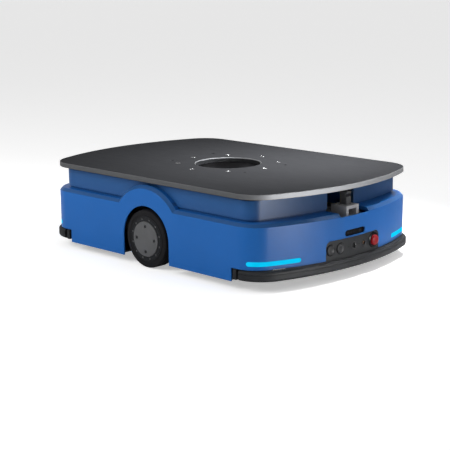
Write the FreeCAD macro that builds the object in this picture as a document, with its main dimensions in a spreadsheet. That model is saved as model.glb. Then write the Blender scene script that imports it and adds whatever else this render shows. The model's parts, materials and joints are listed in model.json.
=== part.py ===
import FreeCAD, Part
import Sketcher
import math
import os
from FreeCAD import Placement, Rotation, Vector

# Low lifting mobile robot. Millimetres, +X to the front, +Y to the left, +Z up.
# The origin is on the floor under the middle of the robot. The deck is down.

SIZES = (
    # Lower shell
    ("body_half_length", 468, "centre to the front of the lower shell"),
    ("body_half_width", 319, "centre to the side of the lower shell"),
    ("body_end_bow", 76.5, "how far the bowed ends stand out past their corners"),
    ("body_corner", 75, "radius of the vertical corners"),
    ("shell_bottom", 21, "ground clearance of the shell"),
    ("shoulder_drop", 61, "lower shell's shoulder below the deck's underside"),
    ("shell_bevel", 9, "bevel along the ledge and fenders"),
    ("shell_wall", 4, "wall of the lower shell"),
    ("ledge_depth", 10, "thickness of the ledge"),
    ("arch_gap", 11, "gap between tyre and wheel arch"),
    ("fender_drop", 3, "top of the fenders below the top of the upper shell"),
    ("fender_sweep", 120, "degrees of the fender's arc that are modelled"),
    ("seam", 0.3, "gap where covers meet"),
    ("overrun", 1, "how far joined and cutting shapes run on past a face"),
    # Upper shell and top cover
    ("end_step", 51, "set-back of the upper shell at the ends"),
    ("side_step", 22, "set-back of the upper shell at the sides"),
    ("upper_end_bow", 45, "bow of the ends of the upper shell"),
    ("upper_corner", 42, "corner radius of the upper shell"),
    ("upper_wall", 5, "wall of the upper shell"),
    ("neck_height", 5, "height of the dark groove under the upper shell"),
    ("neck_inset", 4, "depth of that groove"),
    ("neck_wall", 5, "wall of the neck under the upper shell"),
    ("window_half_width", 54, "half width of the scanner window"),
    ("cover_thickness", 3, "top cover sheet"),
    # Deck
    ("deck_top", 250, "height of the deck when it is down"),
    ("deck_thickness", 14, "deck plate"),
    ("deck_gap", 6, "gap between the deck and the body"),
    ("deck_end_overhang", 2, "deck past the shell at the ends"),
    ("deck_side_inset", 1, "deck inside the shell at the sides"),
    ("deck_corner", 86, "corner radius of the deck"),
    ("deck_edge_bevel", 1.5, "bevel round the deck's upper edge"),
    ("deck_hole", 92, "radius of the centre hole"),
    ("deck_hole_bevel", 3, "bevel round the centre hole"),
    ("deck_bolt_circle", 143, "radius of the circle of deck bolts"),
    ("deck_bolts", 8, "number of deck bolts"),
    ("deck_bolt", 4, "radius of a deck bolt's shank"),
    ("deck_bolt_head", 8, "radius of its countersunk head"),
    ("deck_bolt_length", 32, "length of a deck bolt"),
    ("bolt_play", 0.1, "gap round a fixed bolt or insert"),
    ("pattern_half_length", 145, "threaded holes, half spacing along the robot"),
    ("pattern_half_width", 82.5, "threaded holes, half spacing across the robot"),
    ("pattern_hole", 4.25, "radius of the threaded holes"),
    # Slewing bearing and its gears
    ("gear_module", 4, "tooth size"),
    ("ring_teeth", 82, "teeth on the outer ring"),
    ("pinion_teeth", 16, "teeth on the pinion"),
    ("pressure_angle", 20, "degrees"),
    ("gear_backlash", 0.3, "slack taken from each tooth"),
    ("ring_height", 24, "height of each bearing ring"),
    ("ring_offset", 4, "height of the lower lip that carries the outer ring"),
    ("race_radius", 132, "where the two rings meet"),
    ("ring_bore", 106, "bore of the inner ring"),
    ("lip_radius", 152, "lip of the inner ring"),
    ("race_gap", 3, "inner ring below the deck's underside"),
    ("fit_play", 0.05, "radial play of shafts and guides"),
    ("pinion_height", 18, "face width of the pinion"),
    ("pinion_shaft", 7, "radius of the pinion shaft"),
    ("pinion_socket", 20, "pinion shaft inside its motor"),
    ("socket_gap", 4, "room past the end of a shaft in its socket"),
    ("rotary_case_half", 28, "half width of the deck motor's gearbox"),
    ("rotary_case_height", 46, "deck motor's gearbox"),
    ("rotary_can_radius", 27, "deck motor"),
    ("rotary_can_length", 24, "deck motor"),
    ("pinion_angle", -30, "degrees from +X to the pinion"),
    # Lift carriage
    ("carriage_half_length", 225, "lift carriage plate"),
    ("carriage_half_width", 187, "lift carriage plate"),
    ("carriage_thickness", 12, "lift carriage plate"),
    ("carriage_gap", 7, "gap between carriage and top cover"),
    ("lift_stroke", 60, "travel of the deck"),
    ("post_x", 110, "guide posts from the middle, along the robot"),
    ("post_y", 165, "guide posts from the middle, across the robot"),
    ("post_radius", 12, "guide post"),
    ("bush_wall", 7, "wall of the guide bushes"),
    ("bush_grip", 4, "bush longer than the stroke"),
    ("top_gap", 8, "gap between the posts and the deck"),
    ("screw_x", 200, "lift screws from the middle"),
    ("screw_radius", 8, "lift screw"),
    ("screw_pulley", 22, "radius of the belt pulleys"),
    ("pulley_gap", 9, "gap between lift nut and pulley"),
    ("screw_tail", 28, "lift screw inside its bearing"),
    ("screw_top_gap", 4, "gap between lift screws and deck"),
    ("screw_end_bevel", 2, "bevel on the end of a lift screw"),
    ("screw_hole_gap", 4, "gap round a lift screw in the carriage"),
    ("shaft_hole_gap", 2, "gap round the pinion shaft in the carriage"),
    ("bearing_gap", 3, "gap between pulley and bearing"),
    ("pulley_height", 12, "height of a pulley"),
    ("belt_play", 0.3, "gap between belt and pulleys"),
    ("belt_thickness", 2.5, "timing belt"),
    ("belt_height", 10, "timing belt"),
    ("nut_radius", 16, "lift nut"),
    ("nut_flange", 24, "lift nut flange"),
    ("nut_length", 56, "lift nut"),
    ("nut_flange_height", 8, "lift nut flange"),
    ("lift_can_radius", 31, "lift motor"),
    ("lift_box_half", 34, "half width of the lift gearbox"),
    ("lift_box_height", 36, "lift gearbox"),
    ("bearing_foot_length", 36, "half length of the screw bearing's foot"),
    ("bearing_foot_width", 30, "half width of the screw bearing's foot"),
    ("bearing_foot_height", 12, "screw bearing's foot"),
    ("bearing_column", 22, "radius of the screw bearing"),
    # Base
    ("base_gap", 3, "base plate above the shell's lower edge"),
    ("base_thickness", 6, "base plate"),
    ("base_end_inset", 26, "base plate inside the shell behind the bumpers"),
    ("well_half_length", 102, "wheel well in the base plate"),
    ("well_depth", 79, "wheel well from the side of the shell"),
    ("rail_gap", 3, "gap between rails and boxes"),
    ("rail_width", 16, "frame rails"),
    ("rail_start", 105, "frame rails start this far from the middle"),
    ("rail_past_plate", 5, "frame rails past the caster plates"),
    ("upright_gap", 5, "gap between caster hole and upright"),
    ("upright_width", 10, "uprights beside the caster holes"),
    ("down_camera_x", 85, "down camera from the middle"),
    ("floor_window", 18, "radius of the down camera's window"),
    # Drive
    ("wheel_radius", 80, "drive wheel"),
    ("tyre_width", 44, "drive wheel tyre"),
    ("tyre_depth", 18.5, "tyre from tread to rim"),
    ("tyre_bevel", 3, "edge of the tyre"),
    ("hub_proud", 1, "hub cap past the side of the shell"),
    ("hub_cap", 48.5, "radius of the hub cap"),
    ("hub_cap_height", 3, "hub cap"),
    ("disc_width", 43, "wheel disc"),
    ("disc_dish", 16, "hollow in the disc's back"),
    ("disc_hub", 12, "disc round the axle"),
    ("disc_rim", 8, "disc inside the tyre"),
    ("cap_bevel", 1, "edge of the hub cap"),
    ("axle_radius", 14, "output shaft"),
    ("axle_length", 60, "output shaft behind the disc"),
    ("gearbox_radius", 40, "drive gearbox"),
    ("gearbox_flange", 10, "square flange of the gearbox"),
    ("gearbox_length", 72, "drive gearbox"),
    ("gearbox_gap", 12, "gap between gearbox and wheel disc"),
    ("motor_radius", 35, "drive motor"),
    ("motor_length", 78, "drive motor"),
    ("motor_cap", 8, "encoder cap on the motor"),
    ("motor_step", 5, "encoder cap inside the motor's radius"),
    ("motor_box_half", 18, "half width of the terminal box"),
    ("motor_box_start", 10, "terminal box from the motor's end"),
    ("motor_box_length", 36, "terminal box"),
    ("motor_box_rise", 8, "terminal box above the motor"),
    ("arm_pivot_x", 150, "pivot of the drive arms"),
    ("arm_pivot_z", 62, "pivot of the drive arms"),
    ("arm_thickness", 12, "drive arm"),
    ("arm_rim", 8, "arm's ring outside the gearbox"),
    ("arm_root", 40, "half height of the arm at its ring"),
    ("pivot_boss", 16, "arm and lug round the pivot"),
    ("pivot_pin", 8, "radius of the pivot pin"),
    ("lug_width", 10, "pivot lugs on the base plate"),
    # Casters
    ("caster_end_inset", 128, "swivel axis from the front of the shell"),
    ("caster_side_inset", 114, "swivel axis from the side of the shell"),
    ("caster_trail", 25, "wheel behind the swivel axis"),
    ("caster_wheel", 37.5, "caster wheel radius"),
    ("caster_width", 28, "caster wheel"),
    ("caster_axle", 5, "caster axle"),
    ("caster_side", 5, "side plates of the fork"),
    ("caster_side_gap", 1, "gap between wheel and fork"),
    ("fork_eye", 10, "radius of the fork round its axle"),
    ("fork_front", 6, "fork sides in front of the swivel axis"),
    ("caster_bevel", 2, "edge of the caster wheel"),
    ("caster_head", 26, "radius of the swivel head"),
    ("caster_head_height", 14, "swivel head"),
    ("caster_clear", 3, "gap between wheel and head"),
    ("caster_pin", 8, "swivel pin"),
    ("caster_hole", 70, "hole in the base plate"),
    ("caster_plate", 8, "plate that carries the caster"),
    ("caster_plate_half", 50, "half length of that plate"),
    # Bumpers
    ("bumper_end_proud", 9, "bumper past the shell at the ends"),
    ("bumper_side_proud", 3, "bumper past the shell at the sides"),
    ("bumper_bow_less", 9, "bumper's ends bow less than the shell's"),
    ("bumper_corner", 92, "corner radius of the bumper"),
    ("bumper_bottom", 28, "height of its lower edge"),
    ("bumper_height", 27, "height of the bumper"),
    ("bumper_depth", 14, "thickness of the bumper"),
    ("bumper_round", 7, "rounding of its outer edges"),
    ("bumper_wrap", 117, "bumper's side ends from the front of the shell"),
    ("bumper_stroke", 6, "travel when it is pushed"),
    ("bumper_top_gap", 2, "gap between bumper and shell"),
    ("cap_end_gap", 7, "gap between end cap and shell"),
    ("cap_clear", 2, "gap left between cap and pushed bumper"),
    ("cap_length", 12, "end cap"),
    ("guide_y", 128, "bumper guide rods from the middle"),
    ("guide_rod", 5, "bumper guide rod"),
    ("guide_lug", 10, "half width of the guide lugs"),
    ("guide_inset", 63, "guide lugs from the front of the shell"),
    ("rod_back", 4, "guide rods past the lugs"),
    ("guide_length", 20, "guide lugs"),
    # Front
    ("light_bottom", 67, "corner lights"),
    ("light_height", 12, "corner lights"),
    ("light_side_inset", 97, "corner lights' side end from the front"),
    ("light_end_inset", 133, "corner lights' front end from the side"),
    ("light_groove", 2.4, "depth of the groove"),
    ("light_inset", 0.4, "lights inside the shell's surface"),
    ("panel_half_width", 108, "control panel"),
    ("panel_top", 108, "control panel"),
    ("panel_corner", 16, "upper corners of the panel"),
    ("panel_inset", 0.5, "panel inside the shell's surface"),
    ("panel_thickness", 3, "control panel"),
    ("button_height", 84, "height of the controls"),
    ("start_y", -92, "start button"),
    ("reset_y", -57, "reset button"),
    ("button_radius", 13, "push buttons"),
    ("button_length", 12, "push buttons"),
    ("button_stub", 3, "step behind a button's rim"),
    ("button_stub_length", 4, "step behind a button's rim"),
    ("button_bevel", 1, "edge of a button"),
    ("switch_length", 16, "key switch and service port"),
    ("control_proud", 1.4, "controls past the panel"),
    ("key_y", -5, "key switch"),
    ("key_radius", 8, "key switch"),
    ("key_grip_proud", 4, "key grip"),
    ("key_grip_half", 2, "half thickness of the key grip"),
    ("key_grip_reach", 6, "half height of the key grip"),
    ("port_y", 36, "service port"),
    ("port_radius", 8, "service port"),
    ("port_wall", 3, "service port"),
    ("port_depth", 5, "service port"),
    ("estop_y", 81, "emergency stop"),
    ("collar_radius", 21, "collar of the emergency stop"),
    ("collar_wall", 6, "collar of the emergency stop"),
    ("collar_length", 19, "collar of the emergency stop"),
    ("collar_proud", 4, "collar past the panel"),
    ("collar_floor", 3, "collar's floor below the pushed button"),
    ("head_gap", 0.5, "gap under the pushed button"),
    ("estop_radius", 14, "mushroom head"),
    ("estop_head", 10, "thickness of the mushroom head"),
    ("head_shoulder", 6, "mushroom head up to its shoulder"),
    ("head_crown", 9, "mushroom head up to its crown"),
    ("crown_radius", 11, "mushroom head's crown"),
    ("dome_radius", 6, "flat top of the mushroom head"),
    ("estop_stem", 10, "radius of its stem"),
    ("estop_travel", 5, "travel of the emergency stop"),
    ("slot_half_width", 41, "camera slot"),
    ("slot_radius", 8.5, "half height of the camera slot"),
    ("slot_height", 120, "height of the camera slot"),
    ("slot_recess", 1.5, "camera window inside the shell"),
    ("camera_case_side", 4, "camera case past its window"),
    ("camera_case_half", 11, "half height of the camera case"),
    ("camera_case_depth", 23, "camera case"),
    ("camera_case_back", 24, "back of the case behind the shell"),
    ("notch_half_width", 57, "notch in the ledge"),
    ("notch_depth", 88, "notch from the front of the shell"),
    # Boxes inside
    ("box_gap", 20, "gap between the lift carriage and the boxes"),
    ("box_half_width", 115, "controller box and battery"),
    ("controller_end_inset", 73, "controller box from the front of the shell"),
    ("box_drop", 80, "tops of the boxes below the deck's underside"),
    ("battery_end_inset", 38, "battery pack from the rear of the shell"),
    ("lid_inset", 12, "battery lid inside the case"),
    ("lid_height", 5, "battery lid"),
    ("camera_half", 28, "half width of the floor and deck cameras"),
    ("camera_height", 14, "deck camera"),
    ("lens_radius", 14, "camera lens"),
    ("lens_height", 9, "deck camera's lens"),
    ("down_camera_height", 34, "floor camera"),
    ("lens_drop", 5, "floor camera's lens below the base plate's top"),
    # Scanner
    ("bracket_half_width", 25, "scanner bracket"),
    ("bracket_inset", 11, "scanner bracket from the front of the shell"),
    ("bracket_length", 53, "arched block of the bracket"),
    ("bracket_foot", 106, "foot of the bracket"),
    ("bracket_wall", 9, "walls of the arched block"),
    ("bracket_drop", 47, "bracket below the deck's underside"),
    ("foot_thickness", 4, "foot of the bracket"),
    ("scanner_half_width", 9, "scanner"),
    ("scanner_length", 24, "scanner"),
    ("scanner_gap", 12, "gap between scanner and deck"),
    ("scanner_back", 13, "scanner behind the bracket's front"),
    ("scanner_slit_depth", 3, "slit in the scanner's front"),
    ("scanner_slit_top", 6, "slit below the scanner's top"),
    ("scanner_slit_height", 8, "slit in the scanner's front"),
    # Rear
    ("charge_half_width", 60, "charge block"),
    ("charge_bottom", 80, "charge block"),
    ("charge_height", 36, "charge block"),
    ("charge_depth", 14, "charge block"),
    ("contact_height", 8, "charge contacts"),
    ("contact_spacing", 16, "charge contacts"),
    ("contact_depth", 4, "charge contacts inside the block"),
    ("contact_half_width", 44, "charge contacts"),
    ("contact_proud", 1.5, "charge contacts"),
)

OVERCUT = 5.0  # how far a cutting shape reaches past what it cuts
HALF_TURN_CHORD = 1.999  # an arc whose chord is longer than this share of its radius is a half turn


class Dim:
    """A length with its spreadsheet expression."""

    def __init__(self, value, text):
        self.value = float(value)
        self.text = text

    @staticmethod
    def of(other):
        return other if isinstance(other, Dim) else Dim(other, repr(float(other)))

    def join(self, other, sign, value):
        return Dim(value, "(%s %s %s)" % (self.text, sign, other.text))

    def __add__(self, other):
        other = Dim.of(other)
        return self.join(other, "+", self.value + other.value)

    def __sub__(self, other):
        other = Dim.of(other)
        return self.join(other, "-", self.value - other.value)

    def __mul__(self, other):
        other = Dim.of(other)
        return self.join(other, "*", self.value * other.value)

    def __truediv__(self, other):
        other = Dim.of(other)
        return self.join(other, "/", self.value / other.value)

    def __radd__(self, other):
        return Dim.of(other) + self

    def __rsub__(self, other):
        return Dim.of(other) - self

    def __rmul__(self, other):
        return Dim.of(other) * self

    def __rtruediv__(self, other):
        return Dim.of(other) / self

    def __neg__(self):
        return self * -1


ZERO = Dim(0, "0")


def root(dim):
    return Dim(math.sqrt(dim.value), "sqrt(%s)" % dim.text)


def involute(cosine):
    """Involute function of the angle whose cosine is given, in radians."""
    angle = math.acos(cosine.value)
    text = "(tan(acos(%s)) - acos(%s) / 1rad)" % (cosine.text, cosine.text)
    return Dim(math.tan(angle) - angle, text)


def polar(radius, turn):
    """Point at a radius and an angle in radians."""
    x = Dim(radius.value * math.cos(turn.value), "%s * cos(%s * 1rad)" % (radius.text, turn.text))
    y = Dim(radius.value * math.sin(turn.value), "%s * sin(%s * 1rad)" % (radius.text, turn.text))
    return x, y


doc = FreeCAD.newDocument("LiftingRobot")
sheet = doc.addObject("Spreadsheet::Sheet", "Sizes")
NUMBER = {}
for row, (size_name, size_value, note) in enumerate(SIZES, start=1):
    sheet.set("A%d" % row, size_name)
    sheet.set("B%d" % row, str(size_value))
    sheet.setAlias("B%d" % row, size_name)
    sheet.set("C%d" % row, note)
    NUMBER[size_name] = size_value
doc.recompute()


def size(name):
    return Dim(NUMBER[name], "Sizes." + name)


# ---------------------------------------------------------------- helpers

def bind(item, prop, dim):
    """Ties one property of an object to the sheet."""
    dim = Dim.of(dim)
    whole = isinstance(getattr(item, prop, None), int)
    setattr(item, prop, int(dim.value) if whole else dim.value)
    item.setExpression(prop, dim.text)


def put(item, x=ZERO, y=ZERO, z=ZERO, turn=None):
    """Places an object, its position tied to the sheet."""
    x, y, z = Dim.of(x), Dim.of(y), Dim.of(z)
    item.Placement = Placement(Vector(x.value, y.value, z.value), turn or Rotation())
    for axis, dim in zip("xyz", (x, y, z)):
        if dim.text != "0":
            item.setExpression("Placement.Base." + axis, dim.text)
    return item


def block(label, x, y, z):
    """Box between two x, two y and two z values."""
    item = doc.addObject("Part::Box", label)
    for prop, span in (("Length", x), ("Width", y), ("Height", z)):
        bind(item, prop, Dim.of(span[1]) - span[0])
    return put(item, x[0], y[0], z[0])


TO_X = Rotation(Vector(0, 1, 0), 90)
TO_MINUS_X = Rotation(Vector(0, 1, 0), -90)
TO_Y = Rotation(Vector(1, 0, 0), -90)
TO_MINUS_Y = Rotation(Vector(1, 0, 0), 90)


def rod(label, radius, length, x=ZERO, y=ZERO, z=ZERO, turn=None):
    """Cylinder that starts at a point."""
    item = doc.addObject("Part::Cylinder", label)
    bind(item, "Radius", radius)
    bind(item, "Height", length)
    return put(item, x, y, z, turn)


def fuse(label, shapes):
    item = doc.addObject("Part::MultiFuse", label)
    item.Shapes = shapes
    item.Refine = True
    return item


def cut(label, base, tools):
    item = doc.addObject("Part::Cut", label)
    item.Base = base
    item.Tool = tools[0] if len(tools) == 1 else fuse(label + "_tools", tools)
    item.Refine = True
    return item


def group(label, shapes):
    """Separate solids in one node."""
    item = doc.addObject("Part::Compound", label)
    item.Links = shapes
    return item


def new_body(label):
    return doc.addObject("PartDesign::Body", label)


def origin_part(body, role):
    return next(part for part in body.Origin.OriginFeatures if part.Role == role)


def sketch_on(body, role, offset=ZERO):
    """Sketch on one of the body's own planes, moved along that plane's normal."""
    sketch = body.newObject("Sketcher::SketchObject", body.Name + "_profile")
    sketch.AttachmentSupport = [(origin_part(body, role), "")]
    sketch.MapMode = "FlatFace"
    offset = Dim.of(offset)
    sketch.AttachmentOffset = Placement(Vector(0, 0, offset.value), Rotation())
    if offset.text != "0":
        sketch.setExpression("AttachmentOffset.Base.z", offset.text)
    return sketch


def close_loop(sketch, corners, arcs=None):
    """Closed loop of lines and arcs. arcs maps a side's number to (radius, point midway)."""
    arcs = arcs or {}
    corners = [(Dim.of(x), Dim.of(y)) for x, y in corners]
    first = sketch.GeometryCount
    count = len(corners)
    limits = []
    bound = []
    for i in range(count):
        start = Vector(corners[i][0].value, corners[i][1].value, 0)
        end = Vector(corners[(i + 1) % count][0].value, corners[(i + 1) % count][1].value, 0)
        if i not in arcs:
            sketch.addGeometry(Part.LineSegment(start, end))
            limits.append((1, 2))
            continue
        radius, middle = arcs[i]
        arc = Part.Arc(start, Vector(middle[0].value, middle[1].value, 0), end)
        sketch.addGeometry(arc)
        turned = sketch.getPoint(first + i, 1).distanceToPoint(start) > 1e-6
        limits.append((2, 1) if turned else (1, 2))
        radius = Dim.of(radius)
        if start.distanceToPoint(end) < HALF_TURN_CHORD * radius.value:
            bound.append(("Radius", (first + i,), radius))
            continue
        # a half turn is held by its centre, midway between its ends
        level = abs(start.y - end.y) < abs(start.x - end.x)
        follower = corners[(i + 1) % count]
        centre = (corners[i][1] + follower[1]) / 2 if level else (corners[i][0] + follower[0]) / 2
        bound.append(("DistanceY" if level else "DistanceX", (-1, 1, first + i, 3), centre))
    joins = []
    for i in range(count):
        follower = (i + 1) % count
        joins.append(Sketcher.Constraint("Coincident", first + i, limits[i][1],
                                         first + follower, limits[follower][0]))
        for kind, dim in zip(("DistanceX", "DistanceY"), corners[i]):
            bound.append((kind, (-1, 1, first + i, limits[i][0]), dim))
    sketch.addConstraint(joins)
    bind_constraints(sketch, bound)


def bind_constraints(sketch, bound):
    start = sketch.ConstraintCount
    sketch.addConstraint([Sketcher.Constraint(kind, *where, dim.value) for kind, where, dim in bound])
    for i, (kind, where, dim) in enumerate(bound):
        if "Sizes." in dim.text:
            sketch.setExpression("Constraints[%d]" % (start + i), dim.text)


def add_axis(sketch, start, end):
    """Construction line that a turned feature uses as its axis."""
    number = sketch.GeometryCount
    ends = [(Dim.of(x), Dim.of(y)) for x, y in (start, end)]
    sketch.addGeometry(Part.LineSegment(*(Vector(x.value, y.value, 0) for x, y in ends)), True)
    bind_constraints(sketch, [(kind, (-1, 1, number, point), dim)
                              for point, where in enumerate(ends, start=1)
                              for kind, dim in zip(("DistanceX", "DistanceY"), where)])
    return (sketch, ["Axis0"])


def add_circle(sketch, x, y, radius):
    x, y, radius = Dim.of(x), Dim.of(y), Dim.of(radius)
    number = sketch.GeometryCount
    sketch.addGeometry(Part.Circle(Vector(x.value, y.value, 0), Vector(0, 0, 1), radius.value))
    bind_constraints(sketch, [("Radius", (number,), radius),
                              ("DistanceX", (-1, 1, number, 3), x),
                              ("DistanceY", (-1, 1, number, 3), y)])


def rectangle(sketch, x, y):
    close_loop(sketch, [(x[0], y[0]), (x[1], y[0]), (x[1], y[1]), (x[0], y[1])])


def pad(body, sketch, length, reverse=False):
    item = body.newObject("PartDesign::Pad", body.Name + "_pad")
    item.Profile = sketch
    item.Reversed = reverse
    bind(item, "Length", length)
    doc.recompute()
    return item


def pocket(body, sketch, length, reverse=False):
    """Cuts against the sketch's normal, or along it when reversed."""
    before = body.Shape.Volume
    item = body.newObject("PartDesign::Pocket", body.Name + "_pocket")
    item.Profile = sketch
    item.Reversed = reverse
    bind(item, "Length", length)
    doc.recompute()
    if not body.Shape.Volume < before - 1e-3:
        raise RuntimeError("pocket cuts nothing in " + body.Name)
    return item


def turned(label, profile, x=ZERO, y=ZERO, z=ZERO, turn=None):
    """Body turned from a profile of (radius, height) corners about its own Z axis."""
    body = new_body(label)
    sketch = sketch_on(body, "XZ_Plane")
    close_loop(sketch, profile)
    item = body.newObject("PartDesign::Revolution", label + "_turned")
    item.Profile = sketch
    item.ReferenceAxis = (sketch, ["V_Axis"])
    item.Angle = 360
    put(body, x, y, z, turn)
    return body


def repeat_round(body, feature, count, label):
    """Pattern of a feature round the body's Z axis."""
    pattern = body.newObject("PartDesign::PolarPattern", label)
    pattern.Originals = [feature]
    pattern.Axis = (origin_part(body, "Z_Axis"), [""])
    pattern.Angle = 360
    bind(pattern, "Occurrences", count)
    body.Tip = pattern
    doc.recompute()
    return pattern


def edges_where(shape, test):
    return ["Edge%d" % i for i, edge in enumerate(shape.Edges, start=1) if test(edge)]


def dress(body, kind, prop, base, edges, dim):
    item = body.newObject("PartDesign::" + kind, body.Name + "_" + kind.lower())
    item.Base = (base, edges)
    bind(item, prop, dim)
    doc.recompute()
    return item


def flat_at(z, reach=1e-3):
    """Test for edges that lie at one height."""
    def test(edge):
        box = edge.BoundBox
        return abs(box.ZMin - z.value) < reach and abs(box.ZMax - z.value) < reach
    return test


# ------------------------------------------------------- the bowed outline

class Outline:
    """Rectangle with bowed ends and round corners, taken in by an inset."""

    def __init__(self, length, width, bow, corner, inset=ZERO):
        self.length, self.width, self.bow, self.corner = length, width, bow, corner
        self.end_radius = (width * width + bow * bow) / (bow * 2) - inset
        self.half_length = length - inset
        self.half_width = width - inset
        self.round = corner - inset
        self.end_centre = self.half_length - self.end_radius
        reach = self.end_radius - self.round
        side = self.half_width - self.round
        self.round_x = self.end_centre + root(reach * reach - side * side)
        self.round_y = side
        grow = self.end_radius / reach
        self.end_x = self.end_centre + grow * (self.round_x - self.end_centre)
        self.end_y = grow * side

    def inset(self, amount):
        return Outline(self.length, self.width, self.bow, self.corner, Dim.of(amount))

    def end_at(self, y):
        """x of the bowed end at a distance y from the middle."""
        return self.end_centre + root(self.end_radius * self.end_radius - y * y)

    def round_middle(self, sx, sy):
        share = 0.5 ** 0.5
        return (sx * (self.round_x + self.round * share), sy * (self.round_y + self.round * share))


def full_loop(sketch, outline):
    """The whole outline, counter-clockwise from the front left corner."""
    o = outline
    corners = [(o.end_x, -o.end_y), (o.end_x, o.end_y), (o.round_x, o.half_width),
               (-o.round_x, o.half_width), (-o.end_x, o.end_y), (-o.end_x, -o.end_y),
               (-o.round_x, -o.half_width), (o.round_x, -o.half_width)]
    arcs = {0: (o.end_radius, (o.half_length, ZERO)),
            1: (o.round, o.round_middle(1, 1)),
            3: (o.round, o.round_middle(-1, 1)),
            4: (o.end_radius, (-o.half_length, ZERO)),
            5: (o.round, o.round_middle(-1, -1)),
            7: (o.round, o.round_middle(1, -1))}
    close_loop(sketch, corners, arcs)


def corner_band(sketch, outer, inner, side_x, end_y, sx, sy):
    """Band round one corner, from side_x on the side to end_y on the end."""
    def at(x, y):
        return (sx * x, sy * y)

    def middle_of_end(o):
        mid_y = (o.end_y + end_y) / 2
        return at(o.end_at(mid_y), mid_y)
    corners = [at(side_x, outer.half_width), at(outer.round_x, outer.half_width),
               at(outer.end_x, outer.end_y), at(outer.end_at(end_y), end_y),
               at(inner.end_at(end_y), end_y), at(inner.end_x, inner.end_y),
               at(inner.round_x, inner.half_width), at(side_x, inner.half_width)]
    arcs = {1: (outer.round, outer.round_middle(sx, sy)),
            2: (outer.end_radius, middle_of_end(outer)),
            4: (inner.end_radius, middle_of_end(inner)),
            5: (inner.round, inner.round_middle(sx, sy))}
    if outer.round_x.value > side_x.value:
        close_loop(sketch, corners, arcs)
        return
    # the side start lies on the corner's arc
    def on_round(o):
        along = side_x - o.round_x
        return at(side_x, o.round_y + root(o.round * o.round - along * along))

    def middle_of_round(o):
        mid_x = (side_x + o.end_x) / 2
        along = mid_x - o.round_x
        return at(mid_x, o.round_y + root(o.round * o.round - along * along))
    corners = [on_round(outer), at(outer.end_x, outer.end_y), at(outer.end_at(end_y), end_y),
               at(inner.end_at(end_y), end_y), at(inner.end_x, inner.end_y), on_round(inner)]
    arcs = {0: (outer.round, middle_of_round(outer)), 1: (outer.end_radius, middle_of_end(outer)),
            3: (inner.end_radius, middle_of_end(inner)), 4: (inner.round, middle_of_round(inner))}
    close_loop(sketch, corners, arcs)


def end_band(sketch, outer, inner, half_width, sx):
    """Band across one bowed end, narrower than its corners."""
    corners = [(sx * outer.end_at(half_width), -half_width), (sx * outer.end_at(half_width), half_width),
               (sx * inner.end_at(half_width), half_width), (sx * inner.end_at(half_width), -half_width)]
    arcs = {0: (outer.end_radius, (sx * outer.half_length, ZERO)),
            2: (inner.end_radius, (sx * inner.half_length, ZERO))}
    close_loop(sketch, corners, arcs)


BODY = Outline(size("body_half_length"), size("body_half_width"), size("body_end_bow"),
               size("body_corner"))
UPPER = Outline(size("body_half_length") - size("end_step"), size("body_half_width") - size("side_step"),
                size("upper_end_bow"), size("upper_corner"))
DECK = Outline(size("body_half_length") + size("deck_end_overhang"),
               size("body_half_width") - size("deck_side_inset"), size("body_end_bow"),
               size("deck_corner"))
BUMPER = Outline(size("body_half_length") + size("bumper_end_proud"),
                 size("body_half_width") + size("bumper_side_proud"),
                 size("body_end_bow") - size("bumper_bow_less"), size("bumper_corner"))

# ------------------------------------------------------- heights and places

base_bottom = size("shell_bottom") + size("base_gap")
base_top = base_bottom + size("base_thickness")
deck_bottom = size("deck_top") - size("deck_thickness")
upper_top = deck_bottom - size("deck_gap")
shell_top = deck_bottom - size("shoulder_drop")
ledge_bottom = shell_top - size("ledge_depth")
box_top = deck_bottom - size("box_drop")
bracket_top = deck_bottom - size("bracket_drop")
scanner_top = deck_bottom - size("scanner_gap")
ring_bottom = deck_bottom - size("ring_height")
carriage_top = ring_bottom - size("ring_offset")
carriage_bottom = carriage_top - size("carriage_thickness")
nut_bottom = carriage_bottom - size("nut_length")
pulley_top = nut_bottom - size("pulley_gap")
pulley_bottom = pulley_top - size("pulley_height")
screw_bearing_top = pulley_bottom - size("bearing_gap")
arch_radius = size("wheel_radius") + size("arch_gap")
fender_radius = upper_top - size("fender_drop") - size("wheel_radius")
bumper_top = size("bumper_bottom") + size("bumper_height")
recess_top = bumper_top + size("bumper_top_gap")
guide_height = size("bumper_bottom") + size("bumper_height") / 2
wheel_face = size("body_half_width") + size("hub_proud")
disc_outer = wheel_face - size("hub_cap_height")
disc_inner = disc_outer - size("disc_width")
gearbox_outer = disc_inner - size("gearbox_gap")
gearbox_inner = gearbox_outer - size("gearbox_length")
arm_inner = gearbox_outer - size("arm_thickness")
caster_head_bottom = size("caster_wheel") * 2 + size("caster_clear")
caster_head_top = caster_head_bottom + size("caster_head_height")
caster_plate_bottom = caster_head_top + size("seam")
caster_x = BODY.half_length - size("caster_end_inset")
caster_y = BODY.half_width - size("caster_side_inset")
upright_start = caster_y + size("caster_hole") + size("upright_gap")
upright_end = upright_start + size("upright_width")
rail_y = size("box_half_width") + size("rail_gap")
rail_end = caster_x + size("caster_plate_half") + size("rail_past_plate")
bumper_start = BODY.half_length - size("bumper_wrap")
cap_end = bumper_start - size("bumper_stroke") - size("cap_clear")
cap_start = cap_end - size("cap_length")
recess_start = cap_start - size("cap_end_gap")
guide_start = BODY.half_length - size("guide_inset")
box_start = size("carriage_half_length") + size("box_gap")
bracket_front = BODY.half_length - size("bracket_inset")
light_side = BODY.half_length - size("light_side_inset")
light_end = BODY.half_width - size("light_end_inset")
pitch_radius = size("gear_module") * size("ring_teeth") / 2
pinion_pitch = size("gear_module") * size("pinion_teeth") / 2
pinion_reach = pitch_radius + pinion_pitch
pinion_turn = size("pinion_angle") * math.radians(1)
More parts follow.
